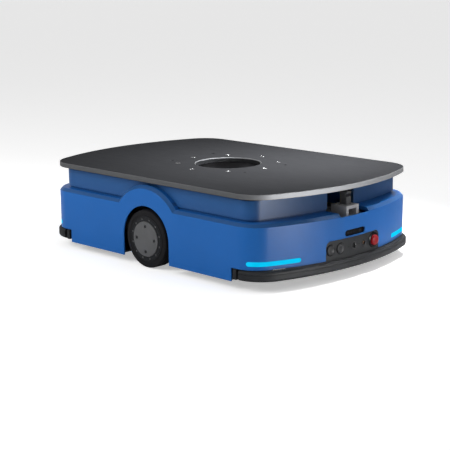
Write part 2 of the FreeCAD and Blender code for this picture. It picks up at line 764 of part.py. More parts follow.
pinion_x, pinion_y = polar(pinion_reach, pinion_turn)
SIDES = (("left", 1), ("right", -1))
CORNERS = (("front_left", 1, 1), ("front_right", 1, -1), ("rear_left", -1, 1), ("rear_right", -1, -1))


# ------------------------------------------------------------------ shells

def make_lower_shell():
    """Moulded cover: bowed box, fenders, hollow, arches, recesses and windows."""
    body = new_body("lower_shell")
    sketch = sketch_on(body, "XY_Plane", size("shell_bottom"))
    full_loop(sketch, BODY)
    prism = pad(body, sketch, shell_top - size("shell_bottom"))
    rim = edges_where(prism.Shape, flat_at(shell_top))
    dress(body, "Chamfer", "Size", prism, rim, size("shell_bevel"))

    inner = UPPER.half_width + size("seam")
    outer = BODY.half_width
    low = ledge_bottom
    bevel = size("shell_bevel")
    fender_top = size("wheel_radius") + fender_radius
    sketch = sketch_on(body, "YZ_Plane")
    close_loop(sketch, [(-inner, low), (-outer, low), (-outer, fender_top - bevel),
                        (bevel - outer, fender_top), (-inner, fender_top)])
    fender = body.newObject("PartDesign::Revolution", "fender")
    fender.Profile = sketch
    hub = size("wheel_radius")
    fender.ReferenceAxis = add_axis(sketch, (0, hub), (-outer, hub))
    fender.Midplane = True
    bind(fender, "Angle", size("fender_sweep"))
    doc.recompute()
    both = body.newObject("PartDesign::Mirrored", "both_fenders")
    both.Originals = [fender]
    both.MirrorPlane = (origin_part(body, "XZ_Plane"), [""])
    body.Tip = both
    doc.recompute()

    sketch = sketch_on(body, "XY_Plane", ledge_bottom)
    full_loop(sketch, BODY.inset(size("shell_wall")))
    pocket(body, sketch, ledge_bottom - size("shell_bottom"))
    sketch = sketch_on(body, "XY_Plane", shell_top)
    full_loop(sketch, UPPER.inset(size("neck_inset") + size("neck_wall") - size("overrun")))
    pocket(body, sketch, size("ledge_depth"))

    across = BODY.half_width + OVERCUT
    arch = sketch_on(body, "XZ_Plane", across)
    foot = size("shell_bottom") - OVERCUT
    hub = size("wheel_radius")
    close_loop(arch, [(arch_radius, foot), (arch_radius, hub), (-arch_radius, hub), (-arch_radius, foot)],
               {1: (arch_radius, (ZERO, hub + arch_radius))})
    pocket(body, arch, across * 2)

    for sx in (1, -1):
        recess = sketch_on(body, "XZ_Plane", across)
        far = BODY.half_length + OVERCUT
        rectangle(recess, (sx * recess_start, sx * far), (foot, recess_top))
        pocket(body, recess, across * 2)

    front = BODY.half_length + OVERCUT
    notch = sketch_on(body, "YZ_Plane", front)
    half = size("notch_half_width")
    rectangle(notch, (-half, half), (ledge_bottom, shell_top + OVERCUT))
    pocket(body, notch, size("notch_depth") + OVERCUT)

    window = sketch_on(body, "YZ_Plane", front)
    half = size("panel_half_width") + size("seam")
    top = size("panel_top") + size("seam")
    rounded_top(window, half, recess_top - OVERCUT, top, size("panel_corner"))
    pocket(body, window, front - BODY.inset(size("shell_wall")).end_at(half) + OVERCUT)

    slot = sketch_on(body, "YZ_Plane", front)
    oblong(slot, size("slot_half_width"), size("slot_radius"), size("slot_height"))
    pocket(body, slot, front - BODY.inset(size("shell_wall")).end_at(size("slot_half_width")) + OVERCUT)

    port = sketch_on(body, "YZ_Plane", -front)
    half = size("charge_half_width") + size("seam")
    rectangle(port, (-half, half), (size("charge_bottom") - size("seam"),
                                    size("charge_bottom") + size("charge_height") + size("seam")))
    pocket(body, port, front - BODY.inset(size("shell_wall")).end_at(half) + OVERCUT, reverse=True)

    groove_top = size("light_bottom") + size("light_height")
    for name, sx, sy in CORNERS:
        groove = sketch_on(body, "XY_Plane", groove_top)
        corner_band(groove, BODY.inset(-size("overrun")), BODY.inset(size("light_groove")), light_side,
                    light_end, sx, sy)
        pocket(body, groove, size("light_height"))
    return body


def rounded_top(sketch, half, bottom, top, corner):
    """Upright rectangle with its two upper corners rounded."""
    share = 0.5 ** 0.5
    out = half - corner
    up = top - corner
    close_loop(sketch, [(-half, bottom), (half, bottom), (half, up), (out, top), (-out, top), (-half, up)],
               {2: (corner, (out + corner * share, up + corner * share)),
                4: (corner, (-out - corner * share, up + corner * share))})


def oblong(sketch, half, radius, height):
    flat = half - radius
    close_loop(sketch, [(-flat, height - radius), (flat, height - radius),
                        (flat, height + radius), (-flat, height + radius)],
               {1: (radius, (half, height)), 3: (radius, (-half, height))})


def make_upper_shell():
    """Band that stands on the ledge, with a neck under it and a window at the front."""
    body = new_body("upper_shell")
    band_bottom = shell_top + size("neck_height")
    sketch = sketch_on(body, "XY_Plane", band_bottom)
    full_loop(sketch, UPPER)
    pad(body, sketch, upper_top - band_bottom)
    neck = UPPER.inset(size("neck_inset"))
    sketch = sketch_on(body, "XY_Plane", shell_top)
    full_loop(sketch, neck)
    pad(body, sketch, size("neck_height"))
    sketch = sketch_on(body, "XY_Plane", upper_top)
    full_loop(sketch, UPPER.inset(size("upper_wall")))
    floor = band_bottom + size("neck_height")
    pocket(body, sketch, upper_top - floor)
    sketch = sketch_on(body, "XY_Plane", floor)
    full_loop(sketch, UPPER.inset(size("neck_inset") + size("neck_wall")))
    pocket(body, sketch, floor - shell_top)
    front = UPPER.half_length + OVERCUT
    window = sketch_on(body, "YZ_Plane", front)
    half = size("window_half_width")
    rectangle(window, (-half, half), (shell_top - OVERCUT, upper_top + OVERCUT))
    pocket(body, window, front - UPPER.inset(size("neck_inset") + size("neck_wall")).end_at(half) + OVERCUT)
    return body


def make_top_cover():
    """Sheet that closes the body round the lift carriage."""
    body = new_body("top_cover")
    sketch = sketch_on(body, "XY_Plane", upper_top - size("cover_thickness"))
    full_loop(sketch, UPPER.inset(size("upper_wall") + size("seam")))
    x = size("carriage_half_length") + size("carriage_gap")
    y = size("carriage_half_width") + size("carriage_gap")
    rectangle(sketch, (-x, x), (-y, y))
    pad(body, sketch, size("cover_thickness"))
    return body


# -------------------------------------------------------------------- deck

def reach_of(edge):
    """How far the farthest point of an edge is from the Z axis."""
    return max(math.hypot(point.X, point.Y) for point in edge.Vertexes)


def make_load_plate():
    """Deck with a centre hole, countersunk bolt holes and a rectangle of threaded holes."""
    body = new_body("load_plate")
    sketch = sketch_on(body, "XY_Plane", deck_bottom)
    full_loop(sketch, DECK)
    add_circle(sketch, 0, 0, size("deck_hole"))
    for sx in (1, -1):
        for sy in (1, -1):
            add_circle(sketch, sx * size("pattern_half_length"), sy * size("pattern_half_width"),
                       size("pattern_hole"))
    plate = pad(body, sketch, size("deck_thickness"))
    on_top = flat_at(size("deck_top"))
    hole = size("deck_hole").value
    rim = edges_where(plate.Shape, lambda e: on_top(e) and abs(e.BoundBox.XLength - 2 * hole) < 0.5)
    bevelled = dress(body, "Chamfer", "Size", plate, rim, size("deck_hole_bevel"))
    edge = edges_where(bevelled.Shape, lambda e: on_top(e) and reach_of(e) > DECK.end_y.value)
    dress(body, "Chamfer", "Size", bevelled, edge, size("deck_edge_bevel"))
    circle = size("deck_bolt_circle")
    shank = size("deck_bolt") + size("bolt_play")
    head = size("deck_bolt_head") + size("bolt_play")
    slope = head - shank
    sketch = sketch_on(body, "XZ_Plane")
    under = deck_bottom - size("overrun")
    over = size("deck_top") + size("overrun")
    close_loop(sketch, [(circle, under), (circle + shank, under), (circle + shank, size("deck_top") - slope),
                        (circle + head, size("deck_top")), (circle + head, over), (circle, over)])
    bore = body.newObject("PartDesign::Groove", "bolt_hole")
    bore.Profile = sketch
    bore.ReferenceAxis = add_axis(sketch, (circle, 0), (circle, size("deck_top")))
    bore.Angle = 360
    doc.recompute()
    repeat_round(body, bore, size("deck_bolts"), "bolt_holes")
    return body


def make_deck_bolts():
    """Countersunk bolts, heads flush with the deck."""
    head = size("deck_bolt_head")
    slope = head - size("deck_bolt")
    bolts = []
    for i in range(NUMBER["deck_bolts"]):
        turn = Dim.of(math.radians(360) * i) / size("deck_bolts")
        x, y = polar(size("deck_bolt_circle"), turn)
        shank = rod("deck_bolt_shank", size("deck_bolt"), size("deck_bolt_length") - slope, x, y,
                    size("deck_top") - size("deck_bolt_length"))
        cone = doc.addObject("Part::Cone", "deck_bolt_head")
        bind(cone, "Radius1", size("deck_bolt"))
        bind(cone, "Radius2", head)
        bind(cone, "Height", slope)
        put(cone, x, y, size("deck_top") - slope)
        bolts.append(fuse("deck_bolt", [shank, cone]))
    return group("deck_bolts", bolts)


# ------------------------------------------------------------------- gears

ROOT_DEPTH = 1.25  # depth of a tooth below the pitch circle, in modules
FLANK_START = 1.002  # flanks start just outside the base circle


def pressure_cosine():
    return Dim(math.cos(math.radians(NUMBER["pressure_angle"])), "cos(Sizes.pressure_angle * 1deg)")


def tooth_flank(teeth, radius):
    """Point on a tooth's flank at a radius, for a tooth centred on +X."""
    pitch = size("gear_module") * teeth / 2
    cosine = pressure_cosine()
    half_tooth = math.radians(90) / teeth - size("gear_backlash") / (pitch * 2)
    turn = half_tooth + involute(cosine) - involute(pitch * cosine / radius)
    return polar(radius, turn)


def add_teeth(body, teeth, bottom, height):
    """One padded tooth with involute flanks, repeated round the Z axis."""
    pitch = size("gear_module") * teeth / 2
    tip = pitch + size("gear_module")
    base = pitch * pressure_cosine()
    foot = pitch - size("gear_module")
    lowest = base * FLANK_START if base.value > foot.value else foot
    flank = [tooth_flank(teeth, radius) for radius in (lowest, (lowest + tip) / 2, tip)]
    inside = pitch - size("gear_module") * ROOT_DEPTH - size("overrun")
    upper = [(inside, flank[0][1])] + flank
    lower = [(x, -y) for x, y in upper]
    sketch = sketch_on(body, "XY_Plane", bottom)
    close_loop(sketch, lower + upper[::-1])
    tooth = pad(body, sketch, height)
    repeat_round(body, tooth, teeth, body.Name + "_teeth")


def make_ring_gear():
    """Outer ring of the slewing bearing, toothed outside, bolted to the deck."""
    body = new_body("ring_gear")
    sketch = sketch_on(body, "XY_Plane", ring_bottom)
    add_circle(sketch, 0, 0, pitch_radius - size("gear_module") * ROOT_DEPTH)
    add_circle(sketch, 0, 0, size("race_radius") + size("fit_play"))
    pad(body, sketch, size("ring_height"))
    add_teeth(body, size("ring_teeth"), ring_bottom, size("ring_height"))
    sketch = sketch_on(body, "XY_Plane", deck_bottom)
    add_circle(sketch, size("deck_bolt_circle"), 0, size("deck_bolt") + size("bolt_play"))
    hole = pocket(body, sketch, size("deck_bolt_length") - size("deck_thickness") + size("overrun"))
    repeat_round(body, hole, size("deck_bolts"), "ring_bolt_holes")
    return body


def make_bearing_inner_ring():
    """Fixed ring on the carriage, with the lip that carries the outer ring."""
    lip_top = ring_bottom - size("seam")
    top = deck_bottom - size("race_gap")
    return turned("bearing_inner_ring", [
        (size("ring_bore"), carriage_top), (size("lip_radius"), carriage_top),
        (size("lip_radius"), lip_top), (size("race_radius"), lip_top),
        (size("race_radius"), top), (size("ring_bore"), top)])


def make_rotary_pinion():
    """Pinion and its shaft, in mesh with the ring at rest."""
    body = new_body("rotary_pinion")
    bottom = ring_bottom + (size("ring_height") - size("pinion_height")) / 2
    shaft_bottom = carriage_bottom - size("pinion_socket")
    sketch = sketch_on(body, "XY_Plane", shaft_bottom)
    add_circle(sketch, 0, 0, size("pinion_shaft"))
    pad(body, sketch, bottom - shaft_bottom)
    sketch = sketch_on(body, "XY_Plane", bottom)
    add_circle(sketch, 0, 0, pinion_pitch - size("gear_module") * ROOT_DEPTH)
    pad(body, sketch, size("pinion_height"))
    add_teeth(body, size("pinion_teeth"), bottom, size("pinion_height"))
    mesh_turn = NUMBER["pinion_angle"] + 180 + pinion_phase()
    return put(body, pinion_x, pinion_y, 0, Rotation(Vector(0, 0, 1), mesh_turn))


def pinion_phase():
    """Turn that sets a gap of the pinion on a tooth of the ring, in degrees."""
    ring_step = 360.0 / NUMBER["ring_teeth"]
    pinion_step = 360.0 / NUMBER["pinion_teeth"]
    ring_shift = (NUMBER["pinion_angle"] / ring_step) % 1.0
    return pinion_step * (0.5 + ring_shift)


# -------------------------------------------------------------------- lift

def upright_box(label, x, y, half_x, half_y, bottom, top):
    """Box centred on a point."""
    return block(label, (x - half_x, x + half_x), (y - half_y, y + half_y), (bottom, top))


def make_rotary_motor():
    """Geared motor that hangs under the carriage beside the bearing."""
    half = size("rotary_case_half")
    case_bottom = carriage_bottom - size("rotary_case_height")
    case = upright_box("rotary_gearbox", pinion_x, pinion_y, half, half, case_bottom, carriage_bottom)
    can = rod("rotary_can", size("rotary_can_radius"), size("rotary_can_length") + size("overrun"),
              pinion_x, pinion_y, case_bottom - size("rotary_can_length"))
    depth = size("pinion_socket") + size("socket_gap")
    bore = rod("rotary_bore", size("pinion_shaft") + size("fit_play"), depth + size("overrun"),
               pinion_x, pinion_y, carriage_bottom - depth)
    return cut("rotary_motor", fuse("rotary_case", [case, can]), [bore])


def make_lift_carriage():
    """Plate with four guide bushes; it rises with the deck but does not turn."""
    x = size("carriage_half_length")
    y = size("carriage_half_width")
    plate = block("carriage_plate", (-x, x), (-y, y), (carriage_bottom, carriage_top))
    past = size("overrun")
    length = size("lift_stroke") + size("bush_grip")
    bushes = []
    tools = []
    for name, sx, sy in CORNERS:
        place = (sx * size("post_x"), sy * size("post_y"), carriage_bottom - length)
        bushes.append(rod("bush", size("post_radius") + size("bush_wall"), length + past, *place))
        tools.append(rod("bush_bore", size("post_radius") + size("fit_play"),
                         length + size("carriage_thickness") + past, *place))
    through = size("carriage_thickness") + past * 2
    low = carriage_bottom - past
    for sx in (1, -1):
        tools.append(rod("screw_hole", size("screw_radius") + size("screw_hole_gap"), through,
                         sx * size("screw_x"), 0, low))
    tools.append(rod("shaft_hole", size("pinion_shaft") + size("shaft_hole_gap"), through,
                     pinion_x, pinion_y, low))
    return cut("lift_carriage", fuse("carriage_blank", [plate] + bushes), tools)


def make_lift_nuts():
    nuts = []
    past = size("overrun")
    for sx in (1, -1):
        x = sx * size("screw_x")
        barrel = rod("nut_barrel", size("nut_radius"), size("nut_length"), x, 0, nut_bottom)
        flange = rod("nut_flange", size("nut_flange"), size("nut_flange_height"), x, 0,
                     carriage_bottom - size("nut_flange_height"))
        bore = rod("nut_bore", size("screw_radius") + size("fit_play"), size("nut_length") + past * 2,
                   x, 0, nut_bottom - past)
        nuts.append(cut("lift_nut", fuse("nut_blank", [barrel, flange]), [bore]))
    return group("lift_nuts", nuts)


def make_guide_posts():
    height = deck_bottom - size("top_gap") - base_top
    posts = [rod("post", size("post_radius"), height, sx * size("post_x"), sy * size("post_y"), base_top)
             for name, sx, sy in CORNERS]
    return group("guide_posts", posts)


def make_lift_screw(label, sx):
    """Lift screw with its belt pulley."""
    r = size("screw_radius")
    low = screw_bearing_top - size("screw_tail")
    end = deck_bottom - size("screw_top_gap")
    bevel = size("screw_end_bevel")
    profile = [(0, low), (r, low), (r, pulley_bottom), (size("screw_pulley"), pulley_bottom),
               (size("screw_pulley"), pulley_top), (r, pulley_top), (r, end - bevel),
               (r - bevel, end), (0, end)]
    return turned(label, profile, sx * size("screw_x"))


def screw_bore(sx):
    """Socket of a lift screw, open at the top."""
    depth = size("screw_tail") + size("socket_gap")
    return rod("screw_bore", size("screw_radius") + size("fit_play"), depth + size("overrun"),
               sx * size("screw_x"), 0, screw_bearing_top - depth)


def make_lift_gearmotor():
    x = -size("screw_x")
    half = size("lift_box_half")
    box_bottom = screw_bearing_top - size("lift_box_height")
    can = rod("lift_can", size("lift_can_radius"), box_bottom + size("overrun") - base_top, x, 0, base_top)
    box = upright_box("lift_box", x, ZERO, half, half, box_bottom, screw_bearing_top)
    return cut("lift_gearmotor", fuse("lift_case", [can, box]), [screw_bore(-1)])


def make_front_screw_bearing():
    x = size("screw_x")
    foot = upright_box("bearing_foot", x, ZERO, size("bearing_foot_length"), size("bearing_foot_width"),
                       base_top, base_top + size("bearing_foot_height"))
    column = rod("bearing_column", size("bearing_column"), screw_bearing_top - base_top, x, 0, base_top)
    return cut("front_screw_bearing", fuse("bearing_case", [foot, column]), [screw_bore(1)])


def make_lift_belt():
    """Closed belt round both screws' pulleys."""
    body = new_body("lift_belt")
    sketch = sketch_on(body, "XY_Plane", pulley_bottom + (size("pulley_height") - size("belt_height")) / 2)
    x = size("screw_x")
    inner = size("screw_pulley") + size("belt_play")
    for radius in (inner, inner + size("belt_thickness")):
        close_loop(sketch, [(-x, -radius), (x, -radius), (x, radius), (-x, radius)],
                   {1: (radius, (x + radius, ZERO)), 3: (radius, (-x - radius, ZERO))})
    pad(body, sketch, size("belt_height"))
    return body


def make_up_camera():
    """Camera on the carriage that looks up through the deck's hole."""
    half = size("camera_half")
    top = carriage_top + size("camera_height")
    case = upright_box("up_camera_case", ZERO, ZERO, half, half, carriage_top, top)
    lens = rod("up_camera_lens", size("lens_radius"), size("lens_height"), 0, 0, top)
    return fuse("up_camera", [case, lens])


# -------------------------------------------------------------------- base

def make_base_plate():
    """Floor of the robot, with wheel wells, caster holes, bumper guides and arm lugs."""
    body = new_body("base_plate")
    sketch = sketch_on(body, "XY_Plane", base_bottom)
    full_loop(sketch, BODY.inset(size("base_end_inset")))
    pad(body, sketch, size("base_thickness"))
    x = recess_start - size("seam")
    y = BODY.half_width - size("shell_wall") - size("seam")
    sketch = sketch_on(body, "XY_Plane", base_bottom)
    rectangle(sketch, (-x, x), (-y, y))
    pad(body, sketch, size("base_thickness"))
    holes = sketch_on(body, "XY_Plane", base_top)
    for name, sx, sy in CORNERS:
        add_circle(holes, sx * caster_x, sy * caster_y, size("caster_hole"))
    add_circle(holes, size("down_camera_x"), 0, size("floor_window"))
    well = BODY.half_width - size("well_depth")
    for sy in (1, -1):
        rectangle(holes, (-size("well_half_length"), size("well_half_length")),
                  (sy * well, sy * (BODY.half_width + OVERCUT)))
    pocket(body, holes, size("base_thickness"))
    add_guide_lugs(body)
    add_pivot_lugs(body)
    return body


def add_guide_lugs(body):
    """Lugs that the bumpers' guide rods slide in."""
    lug = size("guide_lug")
    for sx in (1, -1):
        guides = sketch_on(body, "YZ_Plane", sx * guide_start)
        for sy in (1, -1):
            middle = sy * size("guide_y")
            rectangle(guides, (middle - lug, middle + lug), (base_top - size("overrun"), guide_height + lug))
            add_circle(guides, middle, guide_height, size("guide_rod") + size("fit_play"))
        pad(body, guides, size("guide_length"), reverse=sx < 0)


def add_pivot_lugs(body):
    """Pairs of lugs that the drive arms' pins turn in."""
    boss = size("pivot_boss")
    foot = base_top - size("overrun")
    px, pz = size("arm_pivot_x"), size("arm_pivot_z")
    outer_lug = gearbox_outer + size("seam") + size("lug_width")
    for sy in (1, -1):
        for start in (arm_inner - size("seam"), outer_lug):
            lugs = sketch_on(body, "XZ_Plane", -sy * (start - size("lug_width")))
            close_loop(lugs, [(px - boss, foot), (px + boss, foot), (px + boss, pz), (px - boss, pz)],
                       {2: (boss, (px, pz + boss))})
            add_circle(lugs, px, pz, size("pivot_pin") + size("fit_play"))
            pad(body, lugs, size("lug_width"), reverse=sy > 0)


def span_block(label, sx, sy, x, y, z):
    """Box given for the front left corner and mirrored to another."""
    def swap(span, sign):
        return span if sign > 0 else (-Dim.of(span[1]), -Dim.of(span[0]))
    return block(label, swap(x, sx), swap(y, sy), z)


def make_frame_rails():
    """Rails and uprights that carry the caster plates."""
    rails = []
    start = caster_x - size("caster_plate_half")
    for name, sx, sy in CORNERS:
        rails.append(span_block("rail", sx, sy, (size("rail_start"), rail_end),
                                (rail_y, rail_y + size("rail_width")), (base_top, caster_plate_bottom)))
        rails.append(span_block("upright", sx, sy, (start, recess_start), (upright_start, upright_end),
                                (base_top, caster_plate_bottom)))
    return group("frame_rails", rails)


def make_caster_plates():
    plates = []
    half = size("caster_plate_half")
    past = size("overrun")
    for name, sx, sy in CORNERS:
        plate = span_block("caster_plate_" + name, sx, sy, (caster_x - half, caster_x + half),
                           (rail_y, upright_end),
                           (caster_plate_bottom, caster_plate_bottom + size("caster_plate")))
        bore = rod("plate_bore", size("caster_pin") + size("fit_play"), size("caster_plate") + past * 2,
                   sx * caster_x, sy * caster_y, caster_plate_bottom - past)
        plates.append(cut("swivel_plate", plate, [bore]))
    return group("caster_plates", plates)


def make_caster_fork(name, sx, sy):
    """Swivel head, fork sides and axle; the wheel trails behind the pin."""
    label = name + "_caster_fork"
    x, y = sx * caster_x, sy * caster_y
    axle_x = x - size("caster_trail")
    gap = size("caster_width") / 2 + size("caster_side_gap")
    side = size("caster_side")
    eye = size("fork_eye")
    hub = size("caster_wheel")
    head = rod(label + "_head", size("caster_head"), size("caster_head_height"), x, y, caster_head_bottom)
    pin = rod(label + "_pin", size("caster_pin"), size("seam") + size("caster_plate"), x, y, caster_head_top)
    axle = rod(label + "_axle", size("caster_axle"), (gap + side) * 2, axle_x, y - gap - side, hub, TO_Y)
    parts = [head, pin, axle]
    for near in (gap, -gap - side):
        start = y + near
        parts.append(rod(label + "_eye", eye, side, axle_x, start, hub, TO_Y))
        parts.append(block(label + "_side", (axle_x - eye, x + size("fork_front")), (start, start + side),
                           (hub, caster_head_bottom + size("overrun"))))
    return fuse(label, parts)


def make_caster_wheel(name, sx, sy):
    r = size("caster_wheel")
    half = size("caster_width") / 2
    bevel = size("caster_bevel")
    bore = size("caster_axle") + size("fit_play")
    profile = [(bore, -half), (r - bevel, -half), (r, bevel - half), (r, half - bevel), (r - bevel, half),
               (bore, half)]
    return turned(name + "_caster_wheel", profile, sx * caster_x - size("caster_trail"), sy * caster_y, r,
                  TO_Y)


# ------------------------------------------------------------------- drive

def outward(sy):
    return TO_Y if sy > 0 else TO_MINUS_Y


def along_axle(side, sy, label, radius, start, end):
    """Cylinder on the wheel's axis between two distances from the middle."""
    return rod("%s_%s" % (side, label), radius, end - start, 0, sy * start, size("wheel_radius"), outward(sy))


def make_wheel(side, sy):
    """Tyre, disc with its stub axle, and hub cap."""
    hub = size("wheel_radius")
    rim = hub - size("tyre_depth")
    bevel = size("tyre_bevel")
    bore = rim + size("bolt_play")
    inner = disc_outer - size("tyre_width")
    tyre = turned(side + "_tyre", [
        (bore, inner), (hub - bevel, inner), (hub, inner + bevel), (hub, disc_outer - bevel),
        (hub - bevel, disc_outer), (bore, disc_outer)], 0, 0, hub, outward(sy))
    axle = size("axle_radius")
    axle_end = disc_inner - size("axle_length")
    boss = axle + size("disc_hub")
    lip = rim - size("disc_rim")
    dish = disc_inner + size("disc_dish")
    disc = turned(side + "_wheel_disc", [
        (0, axle_end), (axle, axle_end), (axle, disc_inner), (boss, disc_inner), (boss, dish), (lip, dish),
        (lip, disc_inner), (rim, disc_inner), (rim, disc_outer), (0, disc_outer)], 0, 0, hub, outward(sy))
    face = size("hub_cap")
    edge = size("cap_bevel")
    cap = turned(side + "_hub_cap", [
        (0, disc_outer), (face, disc_outer), (face, wheel_face - edge), (face - edge, wheel_face),
        (0, wheel_face)], 0, 0, hub, outward(sy))
    return [tyre, disc, cap]


def make_drive_unit(side, sy):
    """Gearbox and motor on the wheel's axis."""
    hub = size("wheel_radius")
    flange = size("gearbox_radius")
    flange_end = gearbox_inner + size("gearbox_flange")
    case = along_axle(side, sy, "gear_case", size("gearbox_radius"), gearbox_inner, gearbox_outer)
    square = span_block(side + "_gear_flange", 1, sy, (-flange, flange), (gearbox_inner, flange_end),
                        (hub - flange, hub + flange))
    socket = disc_inner - size("axle_length") - size("socket_gap")
    bore = along_axle(side, sy, "gear_bore", size("axle_radius") + size("fit_play"), socket,
                      gearbox_outer + size("overrun"))
    gearbox = cut(side + "_gearbox", fuse(side + "_gear_body", [case, square]), [bore])
    motor_in = gearbox_inner - size("motor_length")
    plug = motor_in + size("motor_box_start")
    half = size("motor_box_half")
    motor = fuse(side + "_drive_motor", [
        along_axle(side, sy, "motor_can", size("motor_radius"), motor_in, gearbox_inner),
        along_axle(side, sy, "motor_cap", size("motor_radius") - size("motor_step"),
                   motor_in - size("motor_cap"), motor_in),
        span_block(side + "_motor_box", 1, sy, (-half, half), (plug, plug + size("motor_box_length")),
                   (hub, hub + size("motor_radius") + size("motor_box_rise")))])
    return [gearbox, motor]


def make_drive_arm(side, sy):
    """Sprung arm: a ring round the gearbox, a tapering bar and the pivot pin."""
    hub = size("wheel_radius")
    px, pz = size("arm_pivot_x"), size("arm_pivot_z")
    boss = size("pivot_boss")
    thick = size("arm_thickness")
    past = size("overrun")
    bar = new_body(side + "_arm_bar")
    sketch = sketch_on(bar, "XZ_Plane", -sy * gearbox_outer)
    close_loop(sketch, [(0, hub - size("arm_root")), (px, pz - boss), (px, pz + boss),
                        (0, hub + size("arm_root"))])
    pad(bar, sketch, thick, reverse=sy < 0)
    eye = rod(side + "_arm_boss", boss, thick, px, sy * arm_inner, pz, outward(sy))
    reach = size("lug_width") + size("seam")
    pin = rod(side + "_arm_pin", size("pivot_pin"), thick + reach * 2, px, sy * (arm_inner - reach), pz,
              outward(sy))
    collar = along_axle(side, sy, "arm_ring", size("gearbox_radius") + size("arm_rim"), arm_inner,
                        gearbox_outer)
    hole = along_axle(side, sy, "arm_hole", size("gearbox_radius") + size("bolt_play"), arm_inner - past,
                      gearbox_outer + past)
    return cut(side + "_drive_arm", fuse(side + "_arm_blank", [bar, eye, collar, pin]), [hole])


# ----------------------------------------------------------------- bumpers

def make_bumper(name, sx):
    """Sprung bar wrapped round the end, on two guide rods."""
    body = new_body(name + "_bumper")
    outer, inner = BUMPER, BUMPER.inset(size("bumper_depth"))

    def on_round(outline, x):
        along = x - outline.round_x
        return outline.round_y + root(outline.round * outline.round - along * along)

    def round_middle(outline, sy):
        x = (bumper_start + outline.end_x) / 2
        return (sx * x, sy * on_round(outline, x))
    corners = [(sx * bumper_start, -on_round(outer, bumper_start)), (sx * outer.end_x, -outer.end_y),
               (sx * outer.end_x, outer.end_y), (sx * bumper_start, on_round(outer, bumper_start)),
               (sx * bumper_start, on_round(inner, bumper_start)), (sx * inner.end_x, inner.end_y),
               (sx * inner.end_x, -inner.end_y), (sx * bumper_start, -on_round(inner, bumper_start))]
    arcs = {0: (outer.round, round_middle(outer, -1)), 1: (outer.end_radius, (sx * outer.half_length, ZERO)),
            2: (outer.round, round_middle(outer, 1)), 4: (inner.round, round_middle(inner, 1)),
            5: (inner.end_radius, (sx * inner.half_length, ZERO)), 6: (inner.round, round_middle(inner, -1))}
    sketch = sketch_on(body, "XY_Plane", size("bumper_bottom"))
    close_loop(sketch, corners, arcs)
    bar = pad(body, sketch, size("bumper_height"))
    dress(body, "Fillet", "Radius", bar, edges_where(bar.Shape, on_bumper_face), size("bumper_round"))
    rod_start = guide_start - size("rod_back")
    rods = sketch_on(body, "YZ_Plane", sx * rod_start)
    for sy in (1, -1):
        add_circle(rods, sy * size("guide_y"), guide_height, size("guide_rod"))
    pad(body, rods, inner.end_at(size("guide_y")) + size("overrun") * 2 - rod_start, reverse=sx < 0)
    return body


def on_bumper_face(edge, reach=0.01):
    """Level edges of the bumper's outer face."""
    point = edge.valueAt((edge.FirstParameter + edge.LastParameter) / 2)
    x, y = abs(point.x), abs(point.y)
    from_end = math.hypot(x - BUMPER.end_centre.value, y) - BUMPER.end_radius.value
    from_round = math.hypot(x - BUMPER.round_x.value, y - BUMPER.round_y.value) - BUMPER.round.value
    level = edge.BoundBox.ZLength < reach
    return level and (abs(from_end) < reach or abs(from_round) < reach)


def make_end_caps():
    inner = BODY.half_width - size("base_end_inset") + size("seam")
    outer = BODY.half_width + size("bumper_side_proud") / 2
    caps = [span_block("cap_" + name, sx, sy, (cap_start, cap_end), (inner, outer),
                       (size("bumper_bottom"), bumper_top)) for name, sx, sy in CORNERS]
    return group("bumper_end_caps", caps)


# ---------------------------------------------------------- front and rear

def make_corner_lights():
    lights = []
    play = size("bolt_play")
    for name, sx, sy in CORNERS:
        body = new_body("light_" + name)
        sketch = sketch_on(body, "XY_Plane", size("light_bottom") + play)
        corner_band(sketch, BODY.inset(size("light_inset")), BODY.inset(size("light_groove") - play),
                    light_side + play, light_end + play, sx, sy)
        pad(body, sketch, size("light_height") - play * 2)
        lights.append(body)
    return group("corner_lights", lights)


def control_places():
    """Every hole in the control panel: y and radius."""
    return [(size("start_y"), size("button_radius") + size("seam")),
            (size("reset_y"), size("button_radius") + size("seam")),
            (size("key_y"), size("key_radius") + size("fit_play")),
            (size("port_y"), size("port_radius") + size("bolt_play")),
            (size("estop_y"), size("collar_radius") + size("bolt_play"))]


def make_control_panel():
    """Curved plate let into the front of the shell."""
    body = new_body("control_panel")
    outer = BODY.inset(size("panel_inset"))
    inner = BODY.inset(size("panel_inset") + size("panel_thickness"))
    half = size("panel_half_width")
    sketch = sketch_on(body, "XY_Plane", recess_top)
    end_band(sketch, outer, inner, half, 1)
    plate = pad(body, sketch, size("panel_top") - recess_top)
    top = flat_at(size("panel_top"))
    ends = edges_where(plate.Shape, lambda e: top(e) and e.BoundBox.YLength < size("overrun").value)
    dress(body, "Fillet", "Radius", plate, ends, size("panel_corner") - size("seam"))
    front = BODY.half_length + OVERCUT
    holes = sketch_on(body, "YZ_Plane", front)
    for y, radius in control_places():
        add_circle(holes, y, size("button_height"), radius)
    pocket(body, holes, front - inner.end_at(half) + OVERCUT)
    return body


def control_front(y):
    """Front of a flat control: it stands past the bowed panel."""
    return BODY.inset(size("panel_inset")).end_at(y) + size("control_proud")


def make_button(label, y):
    """Push button with a rim at its front."""
    r = size("button_radius")
    long = size("button_length")
    stub = r - size("button_stub")
    step = size("button_stub_length")
    bevel = size("button_bevel")
    return turned(label, [(0, 0), (stub, 0), (stub, step), (r, step), (r, long - bevel), (r - bevel, long),
                          (0, long)], control_front(y) - long, y, size("button_height"), TO_X)


